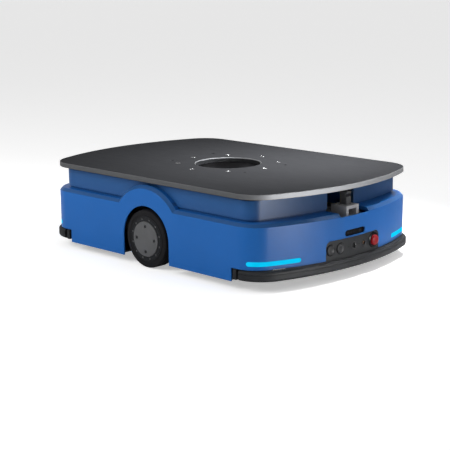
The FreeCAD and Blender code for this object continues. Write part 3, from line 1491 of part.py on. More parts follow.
def make_key_switch():
    """Round key switch with a bar to turn it by."""
    y, z = size("key_y"), size("button_height")
    face = control_front(y)
    thin, reach = size("key_grip_half"), size("key_grip_reach")
    barrel = rod("key_barrel", size("key_radius"), size("switch_length"), face - size("switch_length"), y, z,
                 TO_X)
    grip = block("key_grip", (face - size("overrun"), face + size("key_grip_proud")), (y - thin, y + thin),
                 (z - reach, z + reach))
    return fuse("key_switch", [barrel, grip])


def make_service_port():
    """Round port with a hollow front."""
    y, z = size("port_y"), size("button_height")
    face = control_front(y)
    barrel = rod("port_barrel", size("port_radius"), size("switch_length"), face - size("switch_length"), y,
                 z, TO_X)
    hollow = rod("port_hollow", size("port_radius") - size("port_wall"), size("port_depth") + OVERCUT,
                 face - size("port_depth"), y, z, TO_X)
    return cut("service_port", barrel, [hollow])


def make_estop():
    """Mushroom button that sinks into its collar."""
    y, z = size("estop_y"), size("button_height")
    front = BODY.inset(size("panel_inset")).end_at(y) + size("collar_proud")
    back = front - size("collar_length")
    long = size("collar_length")
    floor = long - size("estop_travel") - size("collar_floor")
    stem = size("estop_stem")
    passage = stem + size("seam")
    collar_bore = size("collar_radius") - size("collar_wall")
    collar = turned("estop_collar", [
        (passage, 0), (size("collar_radius"), 0), (size("collar_radius"), long), (collar_bore, long),
        (collar_bore, floor), (passage, floor)], back, y, z, TO_X)
    rear = floor + size("estop_travel") + size("head_gap")
    head = size("estop_radius")
    start = size("overrun")
    button = turned("estop_button", [
        (0, start), (stem, start), (stem, rear), (head, rear), (head, rear + size("head_shoulder")),
        (size("crown_radius"), rear + size("head_crown")), (size("dome_radius"), rear + size("estop_head")),
        (0, rear + size("estop_head"))], back, y, z, TO_X)
    return [collar, button]


def make_depth_camera():
    """Camera behind the slot, its window just inside the shell's surface."""
    body = new_body("depth_camera")
    half = size("slot_half_width") - size("seam")
    window = BODY.end_at(half) - size("slot_recess")
    inner_wall = BODY.inset(size("shell_wall"))
    side = half + size("camera_case_side")
    back = inner_wall.end_at(side + size("overrun")) - size("camera_case_back")
    case_front = back + size("camera_case_depth")
    middle = size("slot_height")
    rise = size("camera_case_half")
    sketch = sketch_on(body, "YZ_Plane", back)
    rectangle(sketch, (-side, side), (middle - rise, middle + rise))
    pad(body, sketch, case_front - back)
    sketch = sketch_on(body, "YZ_Plane", case_front)
    oblong(sketch, half, size("slot_radius") - size("seam"), middle)
    pad(body, sketch, window - case_front)
    return body


def make_scanner_bracket():
    """Arched block on a foot that stands on the controller box."""
    half = size("bracket_half_width")
    wall = size("bracket_wall")
    past = size("overrun")
    back = bracket_front - size("bracket_length")
    foot_top = box_top + size("foot_thickness")
    foot = block("bracket_plate", (bracket_front - size("bracket_foot"), bracket_front), (-half, half),
                 (box_top, foot_top))
    arch = block("bracket_arch", (back, bracket_front), (-half, half), (foot_top - past, bracket_top))
    inside = block("bracket_inside", (back - past, bracket_front + past), (wall - half, half - wall),
                   (foot_top, bracket_top - wall))
    return fuse("scanner_bracket", [foot, cut("bracket_block", arch, [inside])])


def make_front_scanner():
    """Slim scanner with a slit across its front."""
    half = size("scanner_half_width")
    past = size("overrun")
    front = bracket_front - size("scanner_back")
    column = block("scanner_column", (front - size("scanner_length"), front), (-half, half),
                   (bracket_top, scanner_top))
    slit_top = scanner_top - size("scanner_slit_top")
    slit = block("scanner_slit", (front - size("scanner_slit_depth"), front + past),
                 (-half - past, half + past), (slit_top - size("scanner_slit_height"), slit_top))
    return cut("front_scanner", column, [slit])


def make_charge_block():
    """Insulating block let into the rear of the shell, and its two contacts."""
    body = new_body("charge_block")
    sketch = sketch_on(body, "XY_Plane", size("charge_bottom"))
    outer = BODY.inset(size("panel_inset"))
    inner = BODY.inset(size("panel_inset") + size("charge_depth"))
    end_band(sketch, outer, inner, size("charge_half_width"), -1)
    pad(body, sketch, size("charge_height"))
    half = size("contact_half_width")
    play = size("bolt_play")
    back = outer.end_at(half) - size("contact_depth")
    middle = size("charge_bottom") + size("charge_height") / 2
    front = BODY.half_length + OVERCUT
    contacts = []
    for way in (-1, 1):
        low = middle + way * size("contact_spacing") / 2 - size("contact_height") / 2
        high = low + size("contact_height")
        contacts.append(block("contact", (-BODY.half_length - size("contact_proud"), -back), (-half, half),
                              (low, high)))
        slot = sketch_on(body, "YZ_Plane", -front)
        rectangle(slot, (-half - play, half + play), (low - play, high + play))
        pocket(body, slot, front - back + play, reverse=True)
    return [body, group("charge_contacts", contacts)]


# ------------------------------------------------------------------- boxes

def make_controller_box():
    half = size("box_half_width")
    end = BODY.half_length - size("controller_end_inset")
    return block("controller_box", (box_start, end), (-half, half), (base_top, box_top))


def make_battery():
    """Battery pack with a raised lid."""
    half = size("box_half_width")
    end = BODY.half_length - size("battery_end_inset")
    inset = size("lid_inset")
    case = block("battery_case", (-end, -box_start), (-half, half), (base_top, box_top))
    lid = block("battery_lid", (inset - end, -box_start - inset), (inset - half, half - inset),
                (box_top - size("overrun"), box_top + size("lid_height")))
    return fuse("battery_pack", [case, lid])


def make_down_camera():
    """Camera on the base plate that looks down through its window."""
    x = size("down_camera_x")
    half = size("camera_half")
    case = upright_box("down_camera_case", x, ZERO, half, half, base_top,
                       base_top + size("down_camera_height"))
    lens = rod("down_camera_lens", size("lens_radius"), size("lens_drop") + size("overrun"), x, 0,
               base_top - size("lens_drop"))
    return fuse("down_camera", [case, lens])


# ------------------------------------------------------------------ output

def make_all():
    nodes = [make_lower_shell(), make_upper_shell(), make_top_cover(), make_load_plate(),
             make_deck_bolts(), make_ring_gear(), make_bearing_inner_ring(), make_rotary_pinion(),
             make_rotary_motor(), make_lift_carriage(), make_lift_nuts(), make_guide_posts(),
             make_lift_screw("front_lift_screw", 1), make_lift_screw("rear_lift_screw", -1),
             make_lift_gearmotor(), make_front_screw_bearing(), make_lift_belt(), make_up_camera(),
             make_base_plate(), make_frame_rails(), make_caster_plates(), make_bumper("front", 1),
             make_bumper("rear", -1), make_end_caps(), make_corner_lights(), make_control_panel(),
             make_button("start_button", size("start_y")), make_button("reset_button", size("reset_y")),
             make_key_switch(), make_service_port(), make_depth_camera(), make_scanner_bracket(),
             make_front_scanner(), make_controller_box(), make_battery(), make_down_camera()]
    nodes += make_estop()
    nodes += make_charge_block()
    for side, sy in SIDES:
        nodes += make_wheel(side, sy)
        nodes += make_drive_unit(side, sy)
        nodes.append(make_drive_arm(side, sy))
    for name, sx, sy in CORNERS:
        nodes.append(make_caster_fork(name, sx, sy))
        nodes.append(make_caster_wheel(name, sx, sy))
    return nodes


def write(nodes):
    """Checks every object, then writes one file for each node."""
    doc.recompute()
    for item in doc.Objects:
        if "Invalid" in item.State or "Error" in item.State:
            raise RuntimeError("%s failed: %s" % (item.Name, item.State))
    os.makedirs("parts", exist_ok=True)
    for node in nodes:
        shape = node.Shape
        if shape.isNull() or not shape.isValid() or not shape.Solids:
            raise RuntimeError("%s has no valid solid" % node.Label)
        shape.exportStep("parts/%s.step" % node.Label)
    print("%d nodes" % len(nodes))


write(make_all())
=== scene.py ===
import json
import math

import bpy
from bpy.props import FloatProperty, FloatVectorProperty, PointerProperty
from mathutils import Matrix, Vector

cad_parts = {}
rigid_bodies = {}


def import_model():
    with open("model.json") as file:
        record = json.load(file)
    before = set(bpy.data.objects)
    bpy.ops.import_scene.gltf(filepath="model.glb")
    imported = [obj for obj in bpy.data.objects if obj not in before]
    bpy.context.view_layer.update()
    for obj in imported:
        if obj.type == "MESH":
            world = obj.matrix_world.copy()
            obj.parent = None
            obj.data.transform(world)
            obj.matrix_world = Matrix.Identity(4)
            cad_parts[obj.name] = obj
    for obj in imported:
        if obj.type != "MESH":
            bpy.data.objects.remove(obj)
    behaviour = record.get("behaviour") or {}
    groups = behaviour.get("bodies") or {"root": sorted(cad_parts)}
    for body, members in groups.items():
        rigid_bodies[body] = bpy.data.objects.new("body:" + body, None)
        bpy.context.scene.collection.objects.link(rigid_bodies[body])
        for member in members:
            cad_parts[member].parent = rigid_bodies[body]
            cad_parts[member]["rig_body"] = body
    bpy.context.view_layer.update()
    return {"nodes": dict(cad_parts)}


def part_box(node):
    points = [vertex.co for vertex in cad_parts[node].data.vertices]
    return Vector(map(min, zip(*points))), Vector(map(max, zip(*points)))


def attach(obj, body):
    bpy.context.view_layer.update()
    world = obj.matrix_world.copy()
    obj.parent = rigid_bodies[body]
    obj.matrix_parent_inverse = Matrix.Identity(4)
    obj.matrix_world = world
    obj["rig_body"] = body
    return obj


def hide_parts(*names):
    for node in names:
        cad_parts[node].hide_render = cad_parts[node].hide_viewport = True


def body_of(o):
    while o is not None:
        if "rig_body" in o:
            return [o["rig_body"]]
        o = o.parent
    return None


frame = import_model()

bl_info = {
    "name": "Lifting Robot",
    "version": (1, 0, 0),
    "blender": (4, 5, 0),
    "location": "View3D > Sidebar > Robot",
    "description": "Dresses the frame of a low lifting robot and sets up its studio",
    "category": "Object",
}

ENDS = (("front", 1), ("rear", -1))
SIDES = (("left", 1), ("right", -1))
CORNERS = tuple((end + "_" + side, sx, sy) for end, sx in ENDS for side, sy in SIDES)
ORIGIN = (0.0, 0.0, 0.0)
EVEN = (1.0, 1.0, 1.0)      # a pattern that isn't stretched
SUNK = 0.0002               # how far a fitted part is let into the face it sits on
WELD = 1e-6                 # points nearer than this are made one


# ---------------------------------------------------------------- settings

def number(name, value, note, **settings):
    """Property that is never below zero."""
    return FloatProperty(name=name, description=note, default=value, min=0.0, **settings)


def length(name, value, note):
    """Length property in metres."""
    return number(name, value, note, subtype="DISTANCE", unit="LENGTH", precision=4)


def share(name, value, note):
    return number(name, value, note, max=1.0, subtype="FACTOR")


def power(name, value, note):
    """Lamp power property in watts."""
    return number(name, value, note, subtype="POWER", unit="POWER")


def angle(name, degrees, note):
    return FloatProperty(name=name, description=note, default=math.radians(degrees),
                         subtype="ANGLE", unit="ROTATION")


def colour(name, value, note):
    return FloatVectorProperty(name=name, description=note, default=value, size=3, min=0.0,
                               max=1.0, subtype="COLOR")


class RobotSizes(bpy.types.PropertyGroup):
    hub_height: length("Hub height", 0.080, "Height of the drive wheels' axle")
    edge_round: length("Edge rounding", 0.0008, "Small rounding on moulded edges")
    # Faces at this slope get the painted shade and reflection of the shoulder bands
    shoulder_slope: share("Shoulder slope", 0.7071, "How far the shoulder's band faces up")
    deck_round: length("Deck rounding", 0.0012, "Rounding on the deck's edges")
    # Past this share of the deck its side faces take the lighter grey, a painted highlight
    painted_edge_share: share("Deck rim", 0.5, "Share of the deck past which its edge is bare")
    deck_hole: length("Deck hole", 0.095, "Rim radius of the centre hole")
    deck_bolt_head: length("Deck bolt head", 0.008, "Radius of a deck bolt's head")
    light_reach: length("Light reach", 0.12, "Length that covers one arm of a corner light")
    light_proud: length("Light proud", 0.0005, "How far a corner light stands past its surround")
    # The lip under the shell is a painted shadow in the gap between shell and bumper
    lip_height: length("Bumper lip", 0.0017, "Height of the sealing lip on a bumper")
    bumper_groove: length("Bumper groove", 0.0022, "Width of the groove along a bumper")
    tread_groove: length("Tread groove", 0.0012, "Half width of a tyre's groove")
    wheel_bolt: length("Wheel bolt", 0.0026, "Radius of a wheel bolt's head")
    wheel_bolt_circle: length("Wheel bolt circle", 0.055, "Radius of the circle of wheel bolts")
    cap_screw: length("Cap screw", 0.0042, "Radius of a hub cap screw's head")
    cap_screw_circle: length("Cap screw circle", 0.035, "Radius of the circle of cap screws")
    window_depth: length("Window depth", 0.0032, "How far the camera's window is set back")
    screw_radius: length("Lift screw radius", 0.008, "Outer radius of a lift screw")
    screw_lead: length("Lift screw lead", 0.010, "Rise of a lift screw's thread in one turn")
    ring_bore: length("Ring bore", 0.106, "Bore of the bearing's inner ring")


class RobotColours(bpy.types.PropertyGroup):
    shell: colour("Shell", (0.012, 0.105, 0.360), "Moulded lower shell")
    # Darker, greyer blue: partly the upper shell's own tone, partly painted shade from the deck
    # above; it also paints the shoulder bands of the lower shell
    upper: colour("Upper shell", (0.020, 0.080, 0.225), "Upper shell under the deck")
    deck: colour("Deck", (0.018, 0.0185, 0.020), "Load deck")
    rubber: colour("Rubber", (0.018, 0.019, 0.021), "Bumpers and belt")
    tyre: colour("Tyre", (0.008, 0.008, 0.009), "Drive tyres")
    disc: colour("Wheel disc", (0.014, 0.015, 0.017), "Drive wheel discs")
    hub: colour("Hub cap", (0.090, 0.091, 0.094), "Drive wheel caps")
    trim: colour("Trim", (0.018, 0.019, 0.021), "Dark moulded trim")
    light: colour("Light strip", (0.0, 0.50, 0.80), "Lit corner strips")
    stop_red: colour("Stop button", (0.22, 0.006, 0.010), "Emergency stop button")
    steel: colour("Steel", (0.56, 0.57, 0.58), "Machined steel")
    alloy: colour("Alloy", (0.46, 0.47, 0.49), "Milled and cast alloy")
    floor: colour("Floor", (0.93, 0.93, 0.93), "Studio floor")


class RobotView(bpy.types.PropertyGroup):
    azimuth: angle("Azimuth", 44.97, "Turn of the camera round the robot")
    elevation: angle("Elevation", 12.38, "Height of the camera above the horizon")
    roll: angle("Roll", -0.51, "Tilt of the camera about its own axis")
    lens: FloatProperty(name="Lens", description="Focal length in millimetres", default=98.9,
                        min=1.0)
    distance: length("Distance", 3.528, "From the camera to the deck's middle, along the view")
    aside: length("Aside", 0.0088, "How far the deck's middle is to the right of the view's axis")
    above: length("Above", 0.1781, "How far the deck's middle is above the view's axis")
    world_light: number("World light", 0.38, "Strength of the plain surrounding light")
    side_light: power("Side light", 54.0, "Power of the lamp at the side")
    front_light: power("Front light", 9.0, "Power of the lamp at the front")
    card_light: power("Card light", 130.0, "Power of the low reflection card at the front")
    deck_light: power("Deck light", 14.0, "Power of the lamp over the deck's front")


def sizes():
    return bpy.context.scene.robot_sizes


def colours():
    return bpy.context.scene.robot_colours


# ---------------------------------------------------------------- finishes

MIX_LOW, MIX_HIGH, MIX_COLOUR = 6, 7, 2     # colour sockets of a Mix node


class Socket:
    """A shader value that Python's operators work on."""

    def __init__(self, tree, link):
        self.tree = tree
        self.link = link

    def calc(self, operation, first, second):
        return self.tree.node("ShaderNodeMath", {"operation": operation}, {0: first, 1: second})

    def __add__(self, other):
        return self.calc("ADD", self, other)

    def __sub__(self, other):
        return self.calc("SUBTRACT", self, other)

    def __rsub__(self, other):
        return self.calc("SUBTRACT", other, self)

    def __mul__(self, other):
        return self.calc("MULTIPLY", self, other)

    def __truediv__(self, other):
        return self.calc("DIVIDE", self, other)

    def __rtruediv__(self, other):
        return self.calc("DIVIDE", other, self)

    __radd__ = __add__
    __rmul__ = __mul__

    def ramp(self, low, high):
        """0 at low to 1 at high, held outside."""
        held = self.calc("MAXIMUM", (self - low) / (high - low), 0.0)
        return self.calc("MINIMUM", held, 1.0)


class Tree:
    """The nodes of a material or a world."""

    def __init__(self, owner):
        owner.use_nodes = True
        self.nodes, self.links = owner.node_tree.nodes, owner.node_tree.links

    def feed(self, target, value):
        """Gives a socket its value or its link."""
        if isinstance(value, Socket):
            self.links.new(value.link, target)
        else:
            target.default_value = value

    def node(self, kind, settings=None, values=None, output=0):
        """Adds a node, sets it, feeds its sockets, and gives one of its outputs."""
        item = self.nodes.new(kind)
        for key, value in (settings or {}).items():
            setattr(item, key, value)
        for key, value in (values or {}).items():
            self.feed(item.inputs[key], value)
        return Socket(self, item.outputs[output])

    def ray(self, kind):
        """1 for light paths of a kind."""
        return self.node("ShaderNodeLightPath", output=kind)

    def blend(self, factor, low, high):
        """Colour between two colours."""
        values = {"Factor": factor, MIX_LOW: low, MIX_HIGH: high}
        return self.node("ShaderNodeMix", {"data_type": "RGBA"}, values, MIX_COLOUR)


def solid(tone, level=1.0):
    """A colour at a level, with full alpha."""
    return tuple(min(c * level, 1.0) for c in tone) + (1.0,)


class Finish(Tree):
    """One material: a Principled shader and the nodes that vary it."""

    made = {}

    def __init__(self, name, base, rough, metal=0.0, coat=0.0, specular=0.5):
        self.material = bpy.data.materials.new(name)
        super().__init__(self.material)
        self.base = tuple(base)
        self.rough = rough
        self.set("Base Color", solid(base))
        self.set("Roughness", rough)
        self.set("Metallic", metal)
        self.set("Coat Weight", coat)
        self.set("Coat Roughness", 0.12)
        self.set("Specular IOR Level", specular)
        Finish.made[name] = self.material

    def set(self, socket, value):
        self.feed(self.nodes["Principled BSDF"].inputs[socket], value)

    def noise(self, scale, detail=2.0, stretch=EVEN, rough=0.5):
        """Noise on the piece's own coordinates, stretched."""
        where = self.node("ShaderNodeTexCoord", output="Object")
        where = self.node("ShaderNodeMapping", None, {"Vector": where, "Scale": stretch})
        values = {"Vector": where, "Scale": scale, "Detail": detail, "Roughness": rough}
        return self.node("ShaderNodeTexNoise", None, values, "Fac")

    def shades(self, factor, dark, light):
        """Varies the base colour between a darker and a lighter tone."""
        tones = solid(self.base, dark), solid(self.base, light)
        self.set("Base Color", self.blend(factor, *tones))

    def roughen(self, factor, spread):
        self.set("Roughness", factor * spread + (self.rough - spread * 0.5))

    def bump(self, height, depth):
        values = {"Height": height, "Distance": depth, "Strength": 1.0}
        self.set("Normal", self.node("ShaderNodeBump", None, values))


def shell_finish(name, base):
    """Satin moulded plastic with a faint orange peel."""
    f = Finish(name, base, 0.36, specular=0.08)
    f.shades(f.noise(9.0, 3.0), 0.93, 1.07)
    f.roughen(f.noise(60.0), 0.10)
    f.bump(f.noise(420.0), 0.00005)


def deck_finish():
    """Dark plate with a fine lengthwise grain."""
    f = Finish("deck_dark", colours().deck, 0.55, specular=0.0)
    grain = f.noise(22.0, 4.0, (1.0, 26.0, 1.0), 0.7)
    f.shades(grain.ramp(0.3, 0.7), 0.80, 1.22)
    f.roughen(grain, 0.16)
    f.bump(grain, 0.00006)


def moulded_finish(name, base, rough, coat=0.0):
    """Moulded plastic with a fine spark texture."""
    f = Finish(name, base, rough, coat=coat, specular=0.07)
    fine = f.noise(900.0)
    f.shades(f.noise(30.0), 0.88, 1.12)
    f.roughen(fine, 0.14)
    f.bump(fine, 0.00004)


def rubber_finish(name, base, rough=0.55):
    """Rubber with a dusty, faintly uneven surface."""
    f = Finish(name, base, rough, specular=0.07)
    f.shades(f.noise(14.0, 4.0).ramp(0.35, 0.75), 0.85, 1.5)
    f.roughen(f.noise(300.0), 0.2)
    f.bump(f.noise(700.0), 0.00005)


def metal_finish(name, base, rough, stretch=EVEN):
    """Machined metal with fine tool marks along one direction."""
    f = Finish(name, base, rough, metal=1.0)
    marks = f.noise(60.0, 3.0, stretch, 0.65)
    f.shades(marks, 0.86, 1.10)
    f.roughen(marks, 0.16)
    f.bump(marks, 0.00003)


def coated_finish(name, base, rough=0.5):
    """Powder coat."""
    f = Finish(name, base, rough, specular=0.2)
    peel = f.noise(520.0, 3.0)
    f.shades(f.noise(12.0), 0.9, 1.12)
    f.roughen(peel, 0.12)
    f.bump(peel, 0.00008)


def light_finish():
    """Lit strip with a faintly uneven glow."""
    light = colours().light
    f = Finish("light_strip", solid(light, 0.5)[:3], 0.5, specular=0.0)
    bright = solid([c * 1.08 + 0.01 for c in light])
    f.set("Emission Color", f.blend(f.noise(25.0, 1.0), solid(light, 0.9), bright))
    f.set("Emission Strength", 0.75)


def window_finish():
    """Tinted window that stays dark from every side."""
    f = Finish("window_black", (0.004, 0.004, 0.005), 0.25, specular=0.05)
    film = f.noise(40.0)
    f.shades(film, 0.8, 1.3)
    f.roughen(film, 0.08)


def make_finishes():
    c = colours()
    shell_finish("shell_blue", c.shell)
    shell_finish("upper_blue", c.upper)
    deck_finish()
    light_finish()
    window_finish()
    rubber_finish("rubber_black", c.rubber)
    rubber_finish("tyre_black", c.tyre, 0.62)
    rubber_finish("caster_tread", (0.060, 0.060, 0.063), 0.5)
    moulded_finish("hub_grey", c.hub, 0.42)
    moulded_finish("disc_dark", c.disc, 0.40)
    moulded_finish("trim_dark", c.trim, 0.45)
    moulded_finish("gloss_black", (0.012, 0.012, 0.013), 0.22, 0.4)
    moulded_finish("stop_red", c.stop_red, 0.40, 0.02)
    moulded_finish("button_grey", (0.030, 0.031, 0.033), 0.40)
    moulded_finish("scanner_grey", (0.085, 0.088, 0.092), 0.36)
    moulded_finish("mark_white", (0.70, 0.70, 0.70), 0.45)
    moulded_finish("lens_glass", (0.008, 0.009, 0.014), 0.12, 0.15)
    coated_finish("motor_black", (0.020, 0.020, 0.022), 0.45)
    coated_finish("frame_grey", (0.060, 0.064, 0.070))
    coated_finish("case_grey", (0.160, 0.166, 0.174))
    coated_finish("bracket_grey", (0.30, 0.30, 0.31), 0.45)
    # Black coat of the lift carriage; its darkness partly paints the shade inside the deck's hole
    coated_finish("carriage_black", (0.018, 0.019, 0.021))
    coated_finish("chassis_black", (0.016, 0.017, 0.018), 0.6)
    metal_finish("steel_bright", c.steel, 0.26, (1.0, 1.0, 20.0))
    metal_finish("steel_black", (0.035, 0.036, 0.038), 0.38)
    metal_finish("steel_gear", (0.34, 0.345, 0.36), 0.36, (6.0, 6.0, 1.0))
    # Lighter grey of the deck's edges and hole rim: a painted highlight
    metal_finish("deck_edge", (0.100, 0.102, 0.106), 0.68, (1.0, 1.0, 24.0))
    # Steel of the bearing's inner ring, darkened partly to paint the shade inside the deck's hole
    metal_finish("race_steel", (0.10, 0.10, 0.105), 0.34, (4.0, 4.0, 1.0))
    metal_finish("alloy_milled", c.alloy, 0.36, (18.0, 1.0, 1.0))
    metal_finish("bronze", (0.50, 0.33, 0.13), 0.38, (1.0, 1.0, 12.0))
    metal_finish("copper", (0.62, 0.33, 0.20), 0.32, (1.0, 14.0, 1.0))


# ------------------------------------------------------------------- tools

def deselect():
    if bpy.context.mode != "OBJECT":
        bpy.ops.object.mode_set(mode="OBJECT")
    bpy.ops.object.select_all(action="DESELECT")


def only(*pieces):
    """Selects these pieces and nothing else."""
    deselect()
    for piece in pieces:
        piece.select_set(True)
    bpy.context.view_layer.objects.active = pieces[0]
    return pieces[0]


def edit(piece, action="SELECT"):
    """Opens a piece in edit mode with all of it selected, or none."""
    only(piece)
    bpy.ops.object.mode_set(mode="EDIT")
    bpy.ops.mesh.select_all(action=action)


def pick(piece, test):
    """Selects the faces that pass a test, and opens edit mode."""
    edit(piece, "DESELECT")
    bpy.ops.mesh.select_mode(type="FACE")
    bpy.ops.object.mode_set(mode="OBJECT")
    for face in piece.data.polygons:
        face.select = test(face.center, face.normal)
    bpy.ops.object.mode_set(mode="EDIT")


def cut_level(z, **settings):
    """Cuts the open piece all round at a height."""
    bpy.ops.mesh.select_all(action="SELECT")
    bpy.ops.mesh.bisect(plane_co=(0.0, 0.0, z), plane_no=(0.0, 0.0, 1.0), **settings)


def push(depth):
    """Extrudes the picked faces along their normals."""
    bpy.ops.mesh.extrude_region_shrink_fatten(TRANSFORM_OT_shrink_fatten={"value": depth})


def settle(piece):
    """Moves a piece's place into its mesh."""
    only(piece)
    bpy.ops.object.transform_apply(location=True, rotation=True, scale=True)
    return piece


def modify(piece, kind, **settings):
    """Adds a modifier and applies it."""
    only(piece)
    bpy.ops.object.modifier_add(type=kind)
    modifier = piece.modifiers[-1]
    for key, value in settings.items():
        setattr(modifier, key, value)
    bpy.ops.object.modifier_apply(modifier=modifier.name)
    return piece


def smooth(piece, limit=32.0):
    only(piece)
    bpy.ops.object.shade_smooth_by_angle(angle=math.radians(limit))
    return piece


def weigh(piece):
    """Keeps large faces flat where they meet a rounding."""
    return modify(piece, "WEIGHTED_NORMAL", keep_sharp=True, weight=100)


def soften(piece, width, segments=2, limit=30.0):
    """Rounds every edge sharper than an angle."""
    modify(piece, "BEVEL", width=width, segments=segments, limit_method="ANGLE",
           angle_limit=math.radians(limit), use_clamp_overlap=False)
    return weigh(smooth(piece))


def cross(piece, cutter, operation="DIFFERENCE"):
    """Cuts a piece with another, which is deleted."""
    modify(piece, "BOOLEAN", operation=operation, solver="EXACT", object=cutter)
    bpy.data.objects.remove(cutter)
    return piece


def carve(piece, *cutters):
    for cutter in cutters:
        cross(piece, cutter)
    return piece


def join(name, pieces):
    """Joins pieces into one."""
    whole = only(*pieces)
    if len(pieces) > 1:
        bpy.ops.object.join()
    whole.name = whole.data.name = name
    return whole


def twin(piece, matrix):
    """Copy of a piece with its own mesh, placed by a matrix."""
    only(piece)
    bpy.ops.object.duplicate(linked=False)
    copy = bpy.context.object
    copy.matrix_world = matrix @ copy.matrix_world
    settle(copy)
    if matrix.determinant() < 0:
        edit(copy)
        bpy.ops.mesh.normals_make_consistent(inside=False)
        deselect()
    return copy


def moved(x=0.0, y=0.0, z=0.0):
    return Matrix.Translation((x, y, z))


def turned(degrees, axis="Z", about=ORIGIN):
    """Turn about an axis through a point."""
    shift = Matrix.Translation(about)
    return shift @ Matrix.Rotation(math.radians(degrees), 4, axis) @ shift.inverted()


def ring_of(count, axis, about=ORIGIN, start=0.0):
    """Turns that spread something evenly round an axis."""
    return [turned(start + 360.0 * i / count, axis, about) for i in range(count)]


def fit(piece, finish, body, *nodes):
    """Gives a finished piece its material, body and the nodes it stands for."""
    deselect()
    piece.data.materials.clear()
    piece.data.materials.append(Finish.made[finish])
    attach(piece, body)
    if nodes:
        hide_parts(*nodes)
    return piece


def spread(name, piece, places, finish, body, *nodes):
    """Fits one piece repeated at each matrix and joined; the first copy is removed."""
    copies = [twin(piece, place) for place in places]
    bpy.data.objects.remove(piece)
    return fit(join(name, copies), finish, body, *nodes)


class Pen:
    """Draws an outline in edit mode, one line after another."""

    def __init__(self, name, start):
        deselect()
        self.at = Vector(start)
        bpy.ops.mesh.primitive_plane_add(size=0.01, location=self.at)
        self.piece = bpy.context.object
        self.piece.name = self.piece.data.name = name
        settle(self.piece)
        bpy.ops.object.mode_set(mode="EDIT")
        bpy.ops.mesh.select_mode(type="VERT")
        bpy.ops.mesh.select_all(action="SELECT")
        bpy.ops.mesh.merge(type="CENTER")

    def line(self, to):
        to = Vector(to)
        bpy.ops.mesh.extrude_region_move(TRANSFORM_OT_translate={"value": to - self.at})
        self.at = to


AXES = {"X": (Vector((1, 0, 0)), Vector((0, 1, 0))), "Y": (Vector((0, 1, 0)), Vector((0, 0, 1))),
        "Z": (Vector((0, 0, 1)), Vector((1, 0, 0)))}


def lathe(name, profile, at=ORIGIN, axis="Z", way=1, steps=64):
    """Turned piece: (radius, distance along the axis) points spun all the way round."""
    along, out = AXES[axis]
    at = Vector(at)
    points = [at + out * r + along * (h * way) for r, h in profile]
    pen = Pen(name, points[0])
    for point in points[1:]:
        pen.line(point)
    bpy.ops.mesh.select_all(action="SELECT")
    bpy.ops.mesh.spin(steps=steps, angle=math.tau, center=at, axis=along)
    bpy.ops.mesh.select_all(action="SELECT")
    bpy.ops.mesh.remove_doubles(threshold=WELD)
    bpy.ops.mesh.normals_make_consistent(inside=False)
    deselect()
    return smooth(pen.piece)


def turned_wheel(name, profile, middle, hub, way, steps):
    """Turned piece on a wheel's axle, from a profile about the wheel's middle."""
    return lathe(name, [(r, middle + h) for r, h in profile], hub, "Y", way, steps)


def box(name, low, high):
    """Box between two corners, a start for other tools."""
    deselect()
    low, high = Vector(low), Vector(high)
    bpy.ops.mesh.primitive_cube_add(size=1.0, location=(low + high) / 2)
    piece = bpy.context.object
    piece.name = piece.data.name = name
    piece.scale = high - low
    return settle(piece)


def rod(name, radius, start, depth, axis="Z", steps=48):
    """Cylinder from a point along an axis, a start for other tools."""
    along = AXES[axis][0]
    deselect()
    bpy.ops.mesh.primitive_cylinder_add(vertices=steps, radius=radius, depth=abs(depth),
                                        location=Vector(start) + along * (depth / 2),
                                        rotation=along.to_track_quat("Z", "Y").to_euler())
    piece = bpy.context.object
    piece.name = piece.data.name = name
    return settle(piece)


def node_copy(node, name=None):
    """Merged copy of one of the frame's nodes, with flat faces made whole."""
    mesh = frame["nodes"][node].data.copy()
    piece = bpy.data.objects.new(name or node + "_body", mesh)
    mesh.name = piece.name
    bpy.context.scene.collection.objects.link(piece)
    edit(piece)
    bpy.ops.mesh.select_mode(type="VERT")
    bpy.ops.mesh.select_all(action="SELECT")
    bpy.ops.mesh.remove_doubles(threshold=1e-5)
    bpy.ops.mesh.dissolve_limited(angle_limit=math.radians(0.3))
    deselect()
    return piece


def node_body(node):
    return body_of(frame["nodes"][node])[0]


def dress(node, finish, body, width, segments=2, limit=30.0, name=None):
    """Rounded copy of a node, fitted in the node's place."""
    return fit(soften(node_copy(node, name), width, segments, limit), finish, body, node)


def span(node, way):
    """Inner and outer end of a node along Y, measured towards one side."""
    low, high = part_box(node)
    return sorted((low.y * way, high.y * way))


def across(node):
    """Middle of a node across and up, its back and front along X, and its half width."""
    low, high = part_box(node)
    y = (low.y + high.y) / 2
    return y, (low.z + high.z) / 2, low.x, high.x, high.y - y


def screw(name, radius, height, socket=0.5):
    """Screw head on +Z with a hexagon socket, its foot at the origin."""
    edge = min(height * 0.3, 0.0006)
    head = lathe(name, [(0.0, 0.0), (radius, 0.0), (radius, height - edge),
                        (radius - edge, height), (0.0, height)], steps=24)
    hexagon = rod("hexagon", radius * socket, (0.0, 0.0, height * 0.4), height, steps=6)
    return smooth(carve(head, hexagon))


def collar(name, inner, outer, face, proud, at, axis="X", steps=48):
    """Ring that stands proud of a face, with a rounded rim."""
    edge = min(proud, outer - inner) * 0.35
    foot, top = face - proud, face + proud
    return lathe(name, [(inner, foot), (outer, foot), (outer, top - edge), (outer - edge, top),
                        (inner + edge, top), (inner, top - edge), (inner, foot)],
                 at, axis, 1, steps)


def aim(axis, at, way=1):
    """Matrix that lays a piece modelled on +Z along an axis at a point."""
    along = AXES[axis][0] * way
    return Matrix.Translation(at) @ along.to_track_quat("Z", "Y").to_matrix().to_4x4()


